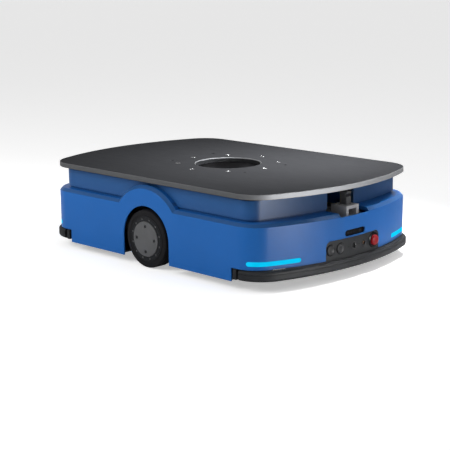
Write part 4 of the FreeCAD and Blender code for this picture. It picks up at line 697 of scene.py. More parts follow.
class ROBOT_OT_finishes(bpy.types.Operator):
    """Make every finish and put one on the belt, which is shown as the frame has it"""
    bl_idname = "robot.finishes"
    bl_label = "Finishes"

    def execute(self, context):
        make_finishes()
        for node in frame["nodes"].values():
            for face in node.data.polygons:
                face.use_smooth = False
        for slot in frame["nodes"]["lift_belt"].material_slots:
            slot.link = "OBJECT"
            slot.material = Finish.made["rubber_black"]
        return {"FINISHED"}


# ------------------------------------------------------------- frame parts

CAST = 0.0008       # rounding of moulded and cast edges
SHEET = 0.0005      # rounding of cut and bent edges
LOOKS = {
    # upper_shell takes the darker blue that is partly painted shade from the deck above
    "upper_shell": ("upper_blue", CAST), "top_cover": ("motor_black", SHEET),
    "base_plate": ("chassis_black", SHEET), "frame_rails": ("frame_grey", SHEET),
    # The bearing's inner ring and the lift carriage show through the deck's hole; their dark
    # finishes are partly painted shade of the hole
    "caster_plates": ("frame_grey", SHEET), "bearing_inner_ring": ("race_steel", SHEET),
    "lift_carriage": ("carriage_black", SHEET), "lift_nuts": ("bronze", SHEET),
    "up_camera": ("gloss_black", CAST), "rotary_motor": ("motor_black", CAST),
    "guide_posts": ("steel_bright", SHEET), "lift_gearmotor": ("motor_black", CAST),
    "front_screw_bearing": ("alloy_milled", CAST), "bumper_end_caps": ("trim_dark", CAST),
    "control_panel": ("trim_dark", SHEET), "scanner_bracket": ("bracket_grey", SHEET),
    "controller_box": ("case_grey", CAST), "battery_pack": ("case_grey", CAST),
    "charge_block": ("gloss_black", SHEET), "charge_contacts": ("copper", SHEET),
    "down_camera": ("gloss_black", CAST),
}
for _side, _sign in SIDES:
    LOOKS[_side + "_gearbox"] = ("alloy_milled", SHEET)
    LOOKS[_side + "_drive_motor"] = ("motor_black", SHEET)
    LOOKS[_side + "_drive_arm"] = ("frame_grey", SHEET)
for _corner, _along, _across in CORNERS:
    LOOKS[_corner + "_caster_fork"] = ("steel_bright", SHEET)


class ROBOT_OT_frame_parts(bpy.types.Operator):
    """Round the edges of the frame's plain parts and give them their finish"""
    bl_idname = "robot.frame_parts"
    bl_label = "Frame parts"

    def execute(self, context):
        for node, (finish, width) in LOOKS.items():
            dress(node, finish, node_body(node), width)
        return {"FINISHED"}


class ROBOT_OT_shell(bpy.types.Operator):
    """Lower body shell with its edges rounded, and its up-facing shoulder and fender bands painted
    a darker, greyer blue as painted shade and reflection
    """
    bl_idname = "robot.shell"
    bl_label = "Lower shell"

    def execute(self, context):
        shell = dress("lower_shell", "shell_blue", "chassis", sizes().edge_round, 3)
        shell.data.materials.append(Finish.made["upper_blue"])
        slope = sizes().shoulder_slope
        near, foot = 0.03, 0.1      # leeway of the slope, and the height of the wheel arches' foot
        # Faces at the shoulder's slope, above the wheel arches' foot, get the darker, greyer blue:
        # painted shade and reflection
        for face in shell.data.polygons:
            up, aside = face.normal.z, abs(face.normal.y)
            painted_band = abs(up - slope) < near or (up > 0.25 and abs(aside - slope) < near)
            if painted_band and face.center.z > foot:
                face.material_index = 1
        return {"FINISHED"}


class ROBOT_OT_lights(bpy.types.Operator):
    """Lit strips let into the four corners, with round ends"""
    bl_idname = "robot.lights"
    bl_label = "Corner lights"

    def execute(self, context):
        low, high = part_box("corner_lights")
        radius = (high.z - low.z) / 2
        middle = (high.z + low.z) / 2
        name = "corner_light_strips"
        edit(node_copy("corner_lights", name))
        bpy.ops.mesh.separate(type="LOOSE")
        deselect()
        parts = [item for item in bpy.context.scene.objects if item.name.startswith(name)]
        strip = next(part for part in parts if min(self.centre(part).xy) > 0)
        for part in parts:
            if part != strip:
                bpy.data.objects.remove(part)
        inner = min(v.co.y for v in strip.data.vertices)
        rear = min(v.co.x for v in strip.data.vertices)
        reach = sizes().light_reach
        long = reach * 3
        front = (rear - reach, inner + radius, middle)
        side = (rear + radius, inner - reach, middle)
        bars = (self.bar("X", front, long, radius, (0.0, long, 0.0)),
                self.bar("Y", side, long, radius, (long, 0.0, 0.0)))
        for bar in bars:
            cross(strip, bar, "INTERSECT")

        def faces_out(centre, normal):
            level = abs(normal.z) < 0.3
            return level and normal.x + normal.y > 0.5 and normal.dot(centre) > 0.3
        pick(strip, faces_out)
        push(sizes().light_proud)
        soften(strip, 0.0003, 2, 40.0)
        places = [Matrix.Diagonal((sx, sy, 1.0, 1.0)) for corner, sx, sy in CORNERS]
        spread(name, strip, places, "light_strip", "chassis")
        dress("corner_lights", "shell_blue", "chassis", 0.0002, 1, name="corner_light_surrounds")
        return {"FINISHED"}

    def centre(self, piece):
        points = [v.co for v in piece.data.vertices]
        return sum(points, Vector()) / len(points)

    def bar(self, axis, start, depth, radius, stretch):
        """Round bar with one half of it drawn out sideways."""
        piece = rod("bar", radius, start, depth, axis)
        middle, way = Vector(start), Vector(stretch).normalized()
        edit(piece, "DESELECT")
        bpy.ops.object.mode_set(mode="OBJECT")
        for vertex in piece.data.vertices:
            vertex.select = (vertex.co - middle).dot(way) > 1e-5
        bpy.ops.object.mode_set(mode="EDIT")
        bpy.ops.mesh.select_mode(type="VERT")
        bpy.ops.transform.translate(value=stretch)
        deselect()
        return piece


class ROBOT_OT_deck(bpy.types.Operator):
    """Load deck with its side faces and hole rim painted lighter as a painted highlight, and its
    countersunk bolts with bright steel rims that paint their glints
    """
    bl_idname = "robot.deck"
    bl_label = "Deck"

    def execute(self, context):
        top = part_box("load_plate")[1]
        deck = dress("load_plate", "deck_dark", "deck", sizes().deck_round, 3, 25.0)
        # Side faces near the deck's outline and the chamfer round its hole take a lighter grey than
        # the top: a painted highlight
        deck.data.materials.append(Finish.made["deck_edge"])
        rim = sizes().painted_edge_share
        hole = sizes().deck_hole + sizes().deck_round
        for face in deck.data.polygons:
            reach = max(abs(face.center.x) / top.x, abs(face.center.y) / top.y)
            lip = 0.6 < face.normal.z < 0.98 and face.center.xy.length < hole
            if lip or (abs(face.normal.z) < 0.9 and reach > rim):
                face.material_index = 1
        self.bolts()
        return {"FINISHED"}

    def bolts(self):
        low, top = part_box("deck_bolts")
        head = sizes().deck_bolt_head
        shank = head * 0.62
        slope = head - shank
        depth = top.z - low.z
        face = depth - 0.0001       # just under the deck's top
        bolt = lathe("deck_bolt", [(0.0, 0.0), (shank - 0.0006, 0.0), (shank, 0.0006),
                                   (shank, depth - slope), (head - 0.0003, depth - 0.0004),
                                   (head - 0.0006, face), (0.0, face)], (0.0, 0.0, low.z), steps=32)
        hexagon = rod("hexagon", head * 0.42, (0.0, 0.0, top.z - 0.004), 0.01, steps=6)
        smooth(carve(bolt, hexagon))
        places = [turn @ moved(top.x - head) for turn in ring_of(8, "Z")]
        spread("deck_bolt_set", bolt, places, "steel_black", "deck", "deck_bolts")
        # Bright steel ring in each dark bolt's socket: a painted glint on the bolt heads
        proud = 0.0004
        ring = collar("socket_rim", head * 0.44, head * 0.58, top.z - proud, proud, ORIGIN, "Z", 24)
        spread("deck_bolt_rims", ring, places, "steel_bright", "deck")


class ROBOT_OT_bumpers(bpy.types.Operator):
    """Wrap-round rubber bumpers with a groove along their face, and a dark lip under the shell that
    paints the shade in the gap above each bumper
    """
    bl_idname = "robot.bumpers"
    bl_label = "Bumpers"

    def execute(self, context):
        for end, sx in ENDS:
            node, body = end + "_bumper", end + "_bumper_bar"
            low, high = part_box(node)
            fit(self.bar(node, low.z, high.z), "rubber_black", body, node)
            fit(self.lip(node, high.z), "rubber_black", body)
        return {"FINISHED"}

    def facing(self, centre, normal):
        """How far a face looks away from the robot, below zero for the back."""
        return normal.dot(Vector((centre.x * 0.3, centre.y, 0.0)).normalized())

    def cut_end(self, centre, normal):
        """Whether a face is one of the flat ends at the robot's sides."""
        return abs(normal.x) > 0.999 and abs(centre.y) > 0.25

    def bar(self, node, foot, top):
        bar = node_copy(node)
        middle = foot + (top - foot) * 0.64
        groove = sizes().bumper_groove
        half = groove / 2
        edit(bar)
        cut_level(middle - half)
        cut_level(middle + half)

        def in_groove(centre, normal):
            level = abs(normal.z) < 0.2 and abs(centre.z - middle) < half
            outside = self.facing(centre, normal) > 0.15 and abs(centre.x) > 0.34
            return level and outside and not self.cut_end(centre, normal)
        pick(bar, in_groove)
        push(-groove * 0.6)
        return soften(bar, 0.0005, 2, 35.0)

    def lip(self, node, top):
        """Dark rubber lip along the top of a bumper's back, just under the shell: a painted shadow
        that fills the gap between shell and bumper.
        """
        lip = node_copy(node, node + "_lip")

        def not_back(centre, normal):
            outside = self.facing(centre, normal) >= -0.15
            return abs(normal.z) > 0.2 or outside or self.cut_end(centre, normal)
        pick(lip, not_back)
        bpy.ops.mesh.delete(type="FACE")
        cut_level(top - 0.004, clear_inner=True)
        bpy.ops.mesh.select_all(action="SELECT")
        bpy.ops.transform.shrink_fatten(value=-0.0001)
        bpy.ops.transform.translate(value=(0.0, 0.0, sizes().lip_height))
        deselect()
        modify(lip, "SOLIDIFY", thickness=0.003, offset=-1.0)
        return soften(lip, 0.0003, 2, 40.0)


class ROBOT_OT_wheels(bpy.types.Operator):
    """Drive wheels: grooved tyre, dished disc with its bolts, and a cap with four screws"""
    bl_idname = "robot.wheels"
    bl_label = "Drive wheels"

    def execute(self, context):
        size = sizes()
        for side, sy in SIDES:
            body = side + "_wheel"
            hub = (0.0, 0.0, size.hub_height)
            fit(self.tyre(side, sy, hub), "tyre_black", body, side + "_tyre")
            fit(self.disc(side, sy, hub), "disc_dark", body, side + "_wheel_disc")
            fit(self.cap(side, sy, hub), "hub_grey", body, side + "_hub_cap")
            face = span(side + "_wheel_disc", sy)[1]
            bolt = screw("wheel_bolt", size.wheel_bolt, 0.0016, 0.55)
            places = self.circle(hub, sy, face - SUNK, size.wheel_bolt_circle, 12, 15.0)
            spread(side + "_wheel_bolts", bolt, places, "hub_grey", body)
            face = span(side + "_hub_cap", sy)[1]
            bolt = screw("cap_screw", size.cap_screw, 0.0022)
            places = self.circle(hub, sy, face - 0.0024, size.cap_screw_circle, 4)
            spread(side + "_cap_screws", bolt, places, "steel_black", body)
        return {"FINISHED"}

    def circle(self, hub, sy, face, radius, count, start=0.0):
        """Places of screws in a circle round the hub."""
        first = aim("Y", Vector(hub) + Vector((0.0, sy * face, radius)), sy)
        return [turn @ first for turn in ring_of(count, "Y", hub, start)]

    def tyre(self, side, sy, hub):
        inner, outer = span(side + "_tyre", sy)
        low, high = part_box(side + "_tyre")
        r = (high.z - low.z) / 2
        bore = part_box(side + "_wheel_disc")[1].x + 0.0001
        half = (outer - inner) / 2
        groove = sizes().tread_groove
        shoulder = [(r - 0.006, half), (r - 0.0025, half - 0.0008), (r - 0.0006, half - 0.003),
                    (r, half - 0.0065)]
        tread = [(a, -b) for a, b in shoulder]
        for at in (-half * 0.45, 0.0, half * 0.45):
            tread += [(r, at - groove), (r - groove, at - groove * 0.6),
                      (r - groove, at + groove * 0.6), (r, at + groove)]
        wall = [(bore + 0.006, half), (bore + 0.0055, half - 0.0008),
                (bore + 0.003, half - 0.0008), (bore + 0.0025, half), (bore, half)]
        profile = [(bore, -half)] + tread + shoulder[::-1] + wall + [(bore, -half)]
        return turned_wheel(side + "_tyre_body", profile, inner + half, hub, sy, 96)

    def disc(self, side, sy, hub):
        face = span(side + "_wheel_disc", sy)[1]
        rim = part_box(side + "_wheel_disc")[1].x
        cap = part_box(side + "_hub_cap")[1].x
        grooves = [self.groove(hub, sy, face, rim - 0.0035, rim - 0.0022, 0.0012),
                   self.groove(hub, sy, face, cap - 0.001, cap + 0.0012, 0.0008)]
        disc = smooth(node_copy(side + "_wheel_disc"))
        return soften(carve(disc, *grooves), 0.0003, 1, 40.0)

    def groove(self, hub, sy, face, inner, outer, depth):
        """Ring that cuts a groove between two radii."""
        top, floor = face + 0.002, face - depth
        return lathe("groove", [(inner, top), (inner, floor), (outer, floor), (outer, top),
                                (inner, top)], hub, "Y", sy, 96)

    def cap(self, side, sy, hub):
        inner, outer = span(side + "_hub_cap", sy)
        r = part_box(side + "_hub_cap")[1].x
        profile = [(0.0, inner), (r, inner), (r, outer - 0.0012), (r - 0.0004, outer - 0.0004),
                   (r - 0.0014, outer), (0.0, outer)]
        cap = lathe(side + "_cap_body", profile, hub, "Y", sy, 96)
        at = Vector(hub) + Vector((0.0, sy * (outer - 0.0022), sizes().cap_screw_circle))
        reach = sizes().cap_screw + 0.0006
        pockets = [rod("screw_pocket", reach, turn @ at, sy * 0.01, "Y", 32)
                   for turn in ring_of(4, "Y", hub)]
        return smooth(carve(cap, *pockets))


class ROBOT_OT_controls(bpy.types.Operator):
    """Push buttons, key switch, service port and signal lamps of the front panel"""
    bl_idname = "robot.controls"
    bl_label = "Controls"

    def execute(self, context):
        self.button("start_button", "start")
        self.button("reset_button", "reset")
        self.key()
        self.port()
        self.lamps()
        self.stop()
        return {"FINISHED"}

    def button(self, node, body):
        """Push button with a dished cap, and a black bezel ring round it that paints the shadow
        round the button.
        """
        y, z, back, front, r = across(node)
        step = back + 0.004
        button = lathe(node + "_cap", [
            (0.0, back), (r * 0.7, back), (r * 0.7, step), (r, step), (r, front - 0.0012),
            (r - 0.0004, front - 0.0003), (r - 0.0012, front), (r - 0.003, front),
            (r - 0.0042, front - 0.0008), (r * 0.4, front - 0.0013), (0.0, front - 0.0014)],
            (0.0, y, z), "X")
        fit(button, "button_grey", body, node)
        # Black ring in the non-reflecting window finish: a painted shadow round the button
        ring = collar(node + "_bezel", r + 0.0006, r + 0.0026, front - 0.0018, 0.0012, (0.0, y, z))
        fit(ring, "window_black", "chassis")

    def key(self):
        y, z, back, front, r = across("key_switch")
        dress("key_switch", "gloss_black", "key", 0.0004)
        ring = collar("key_bezel", r + 0.0004, r + 0.0022, front - 0.0056, 0.001, (0.0, y, z))
        fit(ring, "steel_black", "chassis")
        mark = box("key_mark", (front - SUNK, y - 0.0004, z + 0.002),
                   (front + 0.0001, y + 0.0004, z + 0.0055))
        fit(soften(mark, 0.00005, 1), "mark_white", "key")

    def port(self):
        """Round socket with five pins."""
        y, z, back, front, r = across("service_port")
        dress("service_port", "gloss_black", "chassis", 0.0004)
        floor = front - 0.005
        pin = lathe("port_pin", [
            (0.0, floor - 0.001), (0.0007, floor - 0.001), (0.0007, floor + 0.0022),
            (0.0004, floor + 0.0026), (0.0, floor + 0.0026)], (0.0, y, z + r * 0.34), "X", 1, 12)
        spread("port_pins", pin, ring_of(5, "X", (0.0, y, z)), "copper", "chassis")

    def lamps(self):
        """Small signal lamps between the controls."""
        z = across("key_switch")[1]
        front = across("control_panel")[3]
        for name, y in (("ready_lamp", -0.028), ("fault_lamp", 0.0165)):
            lamp = lathe(name, [
                (0.0, front - 0.004), (0.0017, front - 0.004), (0.0017, front - 0.0003),
                (0.0012, front + 0.0003), (0.0, front + 0.0005)], (0.0, y, z), "X", 1, 24)
            fit(lamp, "gloss_black", "chassis")

    def stop(self):
        """Emergency stop: mushroom head in a deep collar."""
        y, z, back, front, r = across("estop_collar")
        low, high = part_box("estop_button")
        head = high.y - y
        bore = head + 0.001
        neck, seat = 0.0102, back + 0.011
        ring = lathe("stop_collar", [
            (neck, back), (r, back), (r, front - 0.0028), (r - 0.0006, front - 0.0012),
            (r - 0.002, front - 0.0003), (r - 0.0032, front), (bore + 0.0008, front),
            (bore, front - 0.0008), (bore, seat), (neck, seat), (neck, back)],
            (0.0, y, z), "X", 1, 72)
        fit(ring, "window_black", "chassis", "estop_collar")
        stem, rear = 0.010, high.x - 0.010
        cap = lathe("stop_head", [
            (0.0, low.x), (stem, low.x), (stem, rear), (head, rear), (head, rear + 0.0045),
            (head - 0.0004, rear + 0.0058), (head - 0.0018, rear + 0.0078),
            (head - 0.0045, rear + 0.0092), (head - 0.008, rear + 0.0098), (0.003, high.x),
            (0.0, high.x)], (0.0, y, z), "X", 1, 72)
        fit(cap, "stop_red", "estop", "estop_button")


class ROBOT_OT_camera_slot(bpy.types.Operator):
    """Depth camera: its window set back in the slot, with three lenses and a projector"""
    bl_idname = "robot.camera_slot"
    bl_label = "Depth camera"

    def execute(self, context):
        camera = node_copy("depth_camera")
        middle, window = across("depth_camera")[1], across("depth_camera")[3]
        depth = sizes().window_depth
        pick(camera, lambda centre, normal: normal.x > 0.9 and centre.x > window - 0.001)
        bpy.ops.transform.translate(value=(-depth, 0.0, 0.0))
        fit(soften(camera, 0.0005), "window_black", "chassis", "depth_camera")
        face = window - depth
        for name, y, r in (("left_lens", 0.024, 0.0046), ("right_lens", -0.024, 0.0046),
                           ("colour_lens", 0.0, 0.0036), ("projector_lens", -0.011, 0.0028)):
            lens = lathe(name, [
                (0.0, face - 0.001), (r, face - 0.001), (r, face + 0.0006),
                (r - 0.0005, face + 0.001), (r * 0.72, face + 0.001), (r * 0.62, face + 0.0003),
                (0.0, face + 0.0006)], (0.0, y, middle), "X", 1, 40)
            fit(lens, "lens_glass", "chassis")
        return {"FINISHED"}


class ROBOT_OT_scanner(bpy.types.Operator):
    """Slim scanner on its bracket: glossy window, cooling grooves and mounting screws"""
    bl_idname = "robot.scanner"
    bl_label = "Scanner"

    def execute(self, context):
        low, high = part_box("front_scanner")
        column = soften(node_copy("front_scanner"), 0.0006)
        depth, past = 0.0008, 0.01
        for i in range(4):
            z = low.z + 0.004 + 0.0035 * i
            for inner, outer in ((low.y - past, low.y + depth), (high.y - depth, high.y + past)):
                carve(column, box("groove", (low.x + 0.004, inner, z),
                                  (high.x - 0.006, outer, z + 0.0014)))
        fit(smooth(column), "scanner_grey", "chassis", "front_scanner")
        slit_top = high.z - 0.006
        window = box("scanner_window", (high.x - 0.0036, low.y + 0.0004, slit_top - 0.0079),
                     (high.x - 0.0012, high.y - 0.0004, slit_top - 0.0001))
        fit(soften(window, 0.0006, 3), "lens_glass", "chassis")
        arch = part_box("scanner_bracket")[1].z
        places = [moved(low.x - 0.008, sy * 0.014, arch - 0.0001) for side, sy in SIDES]
        spread("bracket_screws", screw("bracket_screw", 0.0028, 0.0018), places,
               "steel_bright", "chassis")
        return {"FINISHED"}


class ROBOT_OT_casters(bpy.types.Operator):
    """Swivel casters: treaded rollers with grey hubs, swivel races and axle nuts"""
    bl_idname = "robot.casters"
    bl_label = "Casters"

    def execute(self, context):
        for corner, sx, sy in CORNERS:
            low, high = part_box(corner + "_caster_wheel")
            axle = (low.x + high.x) / 2, (low.z + high.z) / 2
            self.roller(corner, axle, low, high)
            self.swivel(corner, axle)
        return {"FINISHED"}

    def roller(self, corner, axle, low, high):
        hub = (axle[0], 0.0, axle[1])
        middle = (low.y + high.y) / 2
        half = (high.y - low.y) / 2
        r = (high.z - low.z) / 2
        core = r * 0.74
        body = corner + "_roller"
        right = [(core, half), (r - 0.003, half), (r - 0.0008, half - 0.0015), (r, half - 0.004)]
        tread = [(a, -b) for a, b in right] + right[::-1] + [(core, -half)]
        tyre = turned_wheel(corner + "_tread", tread, middle, hub, 1, 72)
        fit(tyre, "caster_tread", body, corner + "_caster_wheel")
        bore = 0.0051
        right = [(bore, half), (r * 0.34, half), (r * 0.36, half - 0.003),
                 (core - 0.004, half - 0.004), (core - 0.002, half - 0.0006), (core, half - 0.0006)]
        web = [(a, -b) for a, b in right] + right[::-1] + [(bore, -half)]
        fit(turned_wheel(corner + "_hub", web, middle, hub, 1, 72), "hub_grey", body)

    def swivel(self, corner, axle):
        body = corner + "_swivel"
        low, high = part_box(corner + "_caster_fork")
        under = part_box("caster_plates")[0].z
        bore, neck, rim = 0.012, 0.0264, 0.0284
        race = lathe(corner + "_race", [
            (bore, under - 0.0102), (rim - 0.0012, under - 0.0102), (rim, under - 0.009),
            (rim, under - 0.0075), (neck, under - 0.0062), (neck, under - 0.005),
            (bore, under - 0.005), (bore, under - 0.0102)],
            (high.x - 0.026, (low.y + high.y) / 2, 0.0))
        fit(race, "steel_bright", body)
        nut = soften(rod(corner + "_nut", 0.0075, ORIGIN, 0.0045, steps=6), 0.0006)
        places = [aim("Y", (axle[0], high.y - SUNK, axle[1])),
                  aim("Y", (axle[0], low.y + SUNK, axle[1]), -1)]
        spread(corner + "_axle_nuts", nut, places, "steel_bright", body)


class ROBOT_OT_lift(bpy.types.Operator):
    """Lift screws with their thread and pulley, and the drive motors' cooling fins"""
    bl_idname = "robot.lift"
    bl_label = "Lift"

    def execute(self, context):
        low, top = (corner.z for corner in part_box("lift_belt"))
        for end, sx in ENDS:
            self.thread(end, low, top)
        for side, sy in SIDES:
            self.fins(side, sy)
        return {"FINISHED"}

    def thread(self, end, belt_low, belt_top):
        node, body = end + "_lift_screw", end + "_screw"
        low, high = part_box(node)
        x = (low.x + high.x) / 2
        start = belt_top + 0.003
        pulley = high.x - x
        seat = pulley - 0.0012
        r = sizes().screw_radius
        root = r * 0.8
        rise, top = belt_low - 0.001, belt_top + 0.001
        core = lathe(node + "_core", [
            (0.0, low.z), (r, low.z), (r, rise), (pulley, rise), (pulley, rise + 0.001),
            (seat, rise + 0.001), (seat, top - 0.001), (pulley, top - 0.001), (pulley, top),
            (r, top), (r, start), (root, start + 0.001), (root, high.z - 0.002),
            (root - 0.002, high.z), (0.0, high.z)], (x, 0.0, 0.0))
        fit(core, "steel_bright", body, node)
        lead = sizes().screw_lead
        pen = Pen(node + "_thread", (x + root - SUNK, 0.0, start))
        for out, climb in ((0.0, 0.18), (r - root + SUNK, 0.07), (0.0, 0.18),
                           (root - r - SUNK, 0.07)) * 2:
            pen.line(pen.at + Vector((out, 0.0, climb * lead)))
        thread = pen.piece
        edit(thread)
        bpy.ops.transform.translate(value=(-x, 0.0, 0.0))
        deselect()
        count = int((high.z - 0.003 - start) / lead) - 1
        modify(thread, "SCREW", angle=math.tau, screw_offset=lead, iterations=count, steps=24,
               render_steps=24, use_merge_vertices=True)
        edit(thread)
        bpy.ops.transform.translate(value=(x, 0.0, 0.0))
        bpy.ops.mesh.remove_doubles(threshold=WELD)
        bpy.ops.mesh.select_mode(type="EDGE")
        bpy.ops.mesh.select_all(action="DESELECT")
        bpy.ops.mesh.select_non_manifold()
        bpy.ops.mesh.fill()
        bpy.ops.mesh.select_all(action="SELECT")
        bpy.ops.mesh.normals_make_consistent(inside=False)
        deselect()
        fit(smooth(thread), "steel_bright", body)

    def fins(self, side, sy):
        """Cooling fins round a drive motor's can."""
        end = span(side + "_drive_motor", sy)[1]
        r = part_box(side + "_drive_motor")[1].x
        foot, tip, thick = r - 0.001, r + 0.0012, 0.0014
        rings = []
        for i in range(8):
            at = end - 0.008 - i * 0.004
            fin = [(foot, at), (tip, at), (tip, at - thick), (foot, at - thick), (foot, at)]
            rings.append(lathe("fin", fin, (0.0, 0.0, sizes().hub_height), "Y", sy, 48))
        fit(join(side + "_motor_fins", rings), "motor_black", side + "_drive")


class ROBOT_OT_fasteners(bpy.types.Operator):
    """Screws of the covers, drive flanges, lift nuts and charge block"""
    bl_idname = "robot.fasteners"
    bl_label = "Fasteners"

    def execute(self, context):
        self.cover()
        self.floor()
        self.drives()
        self.lift_nuts()
        self.charge()
        return {"FINISHED"}

    def cover(self):
        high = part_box("top_cover")[1]
        x, y = high.x - 0.036, high.y - 0.012
        head = screw("cover_screw", 0.0034, 0.0016)
        spots = [(sx * x * part, sy * y) for part in (0.28, 0.84) for corner, sx, sy in CORNERS]
        spots += [(sx * (high.x - 0.014), sy * 0.095) for corner, sx, sy in CORNERS]
        places = [moved(a, b, high.z - SUNK) for a, b in spots]
        spread("cover_screws", head, places, "steel_black", "chassis")

    def floor(self):
        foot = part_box("base_plate")[0].z + SUNK
        head = screw("floor_screw", 0.0040, 0.0018)
        spots = ((0.135, 0.285), (0.300, 0.285), (0.400, 0.100), (0.215, 0.060))
        places = [aim("Z", (sx * a, sy * b, foot), -1) for a, b in spots
                  for corner, sx, sy in CORNERS]
        spread("floor_screws", head, places, "steel_bright", "chassis")

    def drives(self):
        for side, sy in SIDES:
            low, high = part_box(side + "_gearbox")
            face = sy * (span(side + "_gearbox", sy)[0] + SUNK)
            middle = Vector((0.0, 0.0, (low.z + high.z) / 2))
            half = (high.x - low.x) / 2 - 0.006
            head = screw("flange_screw", 0.0032, 0.0034)
            places = [aim("Y", middle + Vector((a * half, face, b * half)), -sy)
                      for corner, a, b in CORNERS]
            spread(side + "_flange_screws", head, places, "steel_bright", side + "_drive")

    def lift_nuts(self):
        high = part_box("lift_nuts")[1]
        x, circle = high.x - 0.024, 0.0185
        flange = high.z - 0.008 + SUNK
        head = screw("nut_screw", 0.0026, 0.0026)
        places = [turn @ aim("Z", (sx * x + circle, 0.0, flange), -1)
                  for end, sx in ENDS for turn in ring_of(4, "Z", (sx * x, 0.0, 0.0), 45.0)]
        spread("nut_screws", head, places, "steel_black", "lift")

    def charge(self):
        low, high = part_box("charge_block")
        head = screw("charge_screw", 0.0026, 0.0012)
        places = [aim("X", (low.x + 0.0026, sy * 0.0525, (low.z + high.z) / 2), -1)
                  for side, sy in SIDES]
        spread("charge_screws", head, places, "steel_bright", "chassis")


class ROBOT_OT_boxes(bpy.types.Operator):
    """Details of the battery and controller: carrying handles, plugs and louvres"""
    bl_idname = "robot.boxes"
    bl_label = "Battery and controller"

    def execute(self, context):
        self.handles()
        self.plugs("battery_pack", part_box("battery_pack")[1].x, 1)
        self.plugs("controller_box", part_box("controller_box")[0].x, -1)
        self.louvres()
        return {"FINISHED"}

    def handles(self):
        """Carrying handles on the battery's lid."""
        low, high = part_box("battery_pack")
        middle, lid = (low.x + high.x) / 2, high.z
        grips = []
        for side, sy in SIDES:
            y = sy * 0.062
            bar = box("handle", (middle - 0.045, y - 0.006, lid - 0.0005),
                      (middle + 0.045, y + 0.006, lid + 0.011))
            gap = box("handle_gap", (middle - 0.036, y - 0.02, lid - 0.002),
                      (middle + 0.036, y + 0.02, lid + 0.0065))
            grips.append(soften(carve(bar, gap), 0.0022, 4, 40.0))
        fit(join("battery_handles", grips), "rubber_black", "chassis")

    def plugs(self, node, x, way):
        """Power plugs on the face where the battery and the controller meet."""
        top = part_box(node)[1].z
        rear, front = sorted((x - way * 0.0005, x + way * 0.012))
        plugs = []
        for y in (-0.07, -0.035):
            plug = box("plug", (rear, y - 0.011, top - 0.055), (front, y + 0.011, top - 0.033))
            pick(plug, lambda centre, normal: normal.x * way > 0.9)
            bpy.ops.mesh.inset(thickness=0.003, depth=0.0)
            push(-0.006)
            plugs.append(soften(plug, 0.0008))
        fit(join(node + "_plugs", plugs), "gloss_black", "chassis")

    def louvres(self):
        """Two rows of raised louvres on the controller's lid."""
        low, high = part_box("controller_box")
        louvre = box("louvre", (low.x + 0.016, -0.070, high.z - 0.0004),
                     (low.x + 0.024, -0.018, high.z + 0.0030))
        pick(louvre, lambda centre, normal: normal.z > 0.9)
        bpy.ops.transform.resize(value=(0.35, 0.94, 1.0))
        soften(louvre, 0.0006)
        places = [moved(0.011 * i, row, 0.0) for row in (0.0, 0.088) for i in range(7)]
        spread("controller_louvres", louvre, places, "case_grey", "chassis")


class ROBOT_OT_bearing(bpy.types.Operator):
    """Toothed outer ring, pinion and the screws that hold the inner ring to the carriage"""
    bl_idname = "robot.bearing"
    bl_label = "Bearing"

    def execute(self, context):
        for node in ("ring_gear", "rotary_pinion"):
            fit(weigh(smooth(node_copy(node), 28.0)), "steel_gear", node_body(node), node)
        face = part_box("bearing_inner_ring")[1].z - SUNK
        race = 0.132        # where the inner ring's face ends and the rollers begin
        middle = (sizes().ring_bore + race) / 2
        head = screw("ring_screw", 0.0042, 0.0020)
        places = [turn @ moved(middle, 0.0, face) for turn in ring_of(12, "Z", ORIGIN, 15.0)]
        spread("ring_screws", head, places, "steel_black", "lift")
        return {"FINISHED"}


# ------------------------------------------------------------------- stage

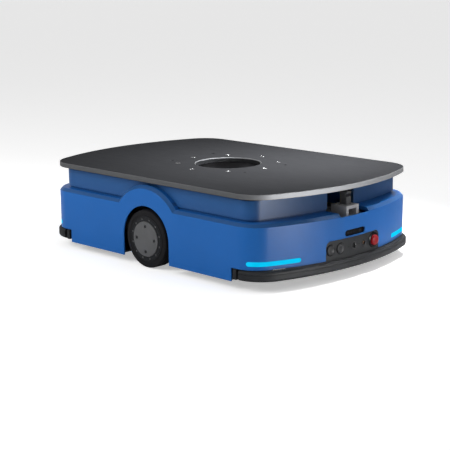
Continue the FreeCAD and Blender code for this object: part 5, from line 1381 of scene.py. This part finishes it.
class ROBOT_OT_stage(bpy.types.Operator):
    """Set up the floor, the surrounding light, the lamps and the camera"""
    bl_idname = "robot.stage"
    bl_label = "Stage"

    def execute(self, context):
        view = context.scene.robot_view
        context.scene.view_settings.view_transform = "Standard"
        self.floor()
        self.world(view)
        self.lamps(view)
        self.camera(context, view)
        return {"FINISHED"}

    def floor(self):
        """Pale floor that the camera sees a little brighter than it is lit."""
        deselect()
        bpy.ops.mesh.primitive_plane_add(size=40.0)
        floor = bpy.context.object
        floor.name = "studio_floor"
        f = Finish("studio_floor", colours().floor, 0.9, specular=0.1)
        dark, glow = solid((0.0, 0.0, 0.0)), solid((0.42, 0.42, 0.42))
        f.set("Emission Color", f.blend(f.ray("Is Camera Ray"), dark, glow))
        f.set("Emission Strength", 1.0)
        floor.data.materials.append(f.material)

    def world(self, view):
        """Plain light, and a pale backdrop for the camera and for reflections."""
        world = bpy.data.worlds.new("studio")
        bpy.context.scene.world = world
        tree = Tree(world)
        light = tree.nodes["Background"]
        tree.feed(light.inputs["Color"], solid((1.0, 1.0, 1.0)))
        tree.feed(light.inputs["Strength"], view.world_light)
        backdrop = tree.node("ShaderNodeBackground", None, {"Color": solid((0.8, 0.8, 0.8))})
        seen = tree.ray("Is Camera Ray") + tree.ray("Is Glossy Ray")
        seen += tree.ray("Is Transmission Ray")
        seen = seen.calc("MINIMUM", seen, 1.0)
        values = {"Fac": seen, 1: Socket(tree, light.outputs[0]), 2: backdrop}
        mix = tree.node("ShaderNodeMixShader", None, values)
        tree.feed(tree.nodes["World Output"].inputs["Surface"], mix)

    def lamps(self, view):
        self.lamp("side_lamp", (-1.1, -2.5, 1.9), 1.6, view.side_light)
        self.lamp("front_lamp", (2.4, 0.6, 2.0), 1.4, view.front_light)
        card = self.lamp("front_card", (2.2, 0.1, 0.22), 0.7, view.card_light)
        card.data.shape = "RECTANGLE"
        card.data.size_y = 0.4
        card.visible_diffuse = False
        high = self.lamp("deck_lamp", (0.33, 0.33, 0.85), 0.5, view.deck_light)
        high.data.spread = math.radians(102.0)

    def lamp(self, name, place, size, power):
        """Square lamp that looks at the robot's middle."""
        deselect()
        bpy.ops.object.light_add(type="AREA", location=place)
        lamp = bpy.context.object
        lamp.name = name
        lamp.data.size = size
        lamp.data.energy = power
        look = Vector((0.0, 0.0, 0.1)) - Vector(place)
        lamp.rotation_euler = look.to_track_quat("-Z", "Y").to_euler()
        return lamp

    def camera(self, context, view):
        flat = math.cos(view.elevation)
        back = Vector((math.sin(view.azimuth) * flat, -math.cos(view.azimuth) * flat,
                       math.sin(view.elevation)))
        right = Vector((0.0, 0.0, 1.0)).cross(back).normalized()
        up = back.cross(right)
        turn, tilt = math.cos(view.roll), math.sin(view.roll)
        across = right * turn + up * tilt
        upright = up * turn - right * tilt
        deck_middle = Vector((0.0, 0.0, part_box("load_plate")[1].z))
        place = (deck_middle - across * view.aside - upright * view.above
                 + back * view.distance)
        bpy.ops.object.camera_add(location=place)
        camera = context.object
        camera.name = "studio_camera"
        camera.data.lens = view.lens
        camera.data.sensor_width = 36.0
        camera.data.clip_end = 60.0
        camera.matrix_world = Matrix.Translation(place) @ Matrix(
            (across, upright, back)).transposed().to_4x4()
        context.scene.camera = camera


PIECES = (ROBOT_OT_finishes, ROBOT_OT_frame_parts, ROBOT_OT_shell, ROBOT_OT_lights,
          ROBOT_OT_deck, ROBOT_OT_bumpers, ROBOT_OT_wheels, ROBOT_OT_controls,
          ROBOT_OT_camera_slot, ROBOT_OT_scanner, ROBOT_OT_casters, ROBOT_OT_lift,
          ROBOT_OT_fasteners, ROBOT_OT_boxes, ROBOT_OT_bearing, ROBOT_OT_stage)
SETTINGS = {"robot_sizes": RobotSizes, "robot_colours": RobotColours, "robot_view": RobotView}


class ROBOT_PT_panel(bpy.types.Panel):
    """Sizes, colours and build steps of the robot"""
    bl_idname = "ROBOT_PT_panel"
    bl_label = "Lifting Robot"
    bl_space_type = "VIEW_3D"
    bl_region_type = "UI"
    bl_category = "Robot"

    def draw(self, context):
        for operator in PIECES:
            self.layout.operator(operator.bl_idname)
        for settings in SETTINGS:
            box = self.layout.box()
            owner = getattr(context.scene, settings)
            for name in owner.__annotations__:
                box.prop(owner, name)


CLASSES = (*SETTINGS.values(), *PIECES, ROBOT_PT_panel)


def register():
    for item in CLASSES:
        bpy.utils.register_class(item)
    for name, group in SETTINGS.items():
        setattr(bpy.types.Scene, name, PointerProperty(type=group))


def unregister():
    for name in SETTINGS:
        delattr(bpy.types.Scene, name)
    for item in reversed(CLASSES):
        bpy.utils.unregister_class(item)


def main():
    register()
    for operator in PIECES:
        group, name = operator.bl_idname.split(".")
        getattr(getattr(bpy.ops, group), name)()


if __name__ == "__main__":
    main()
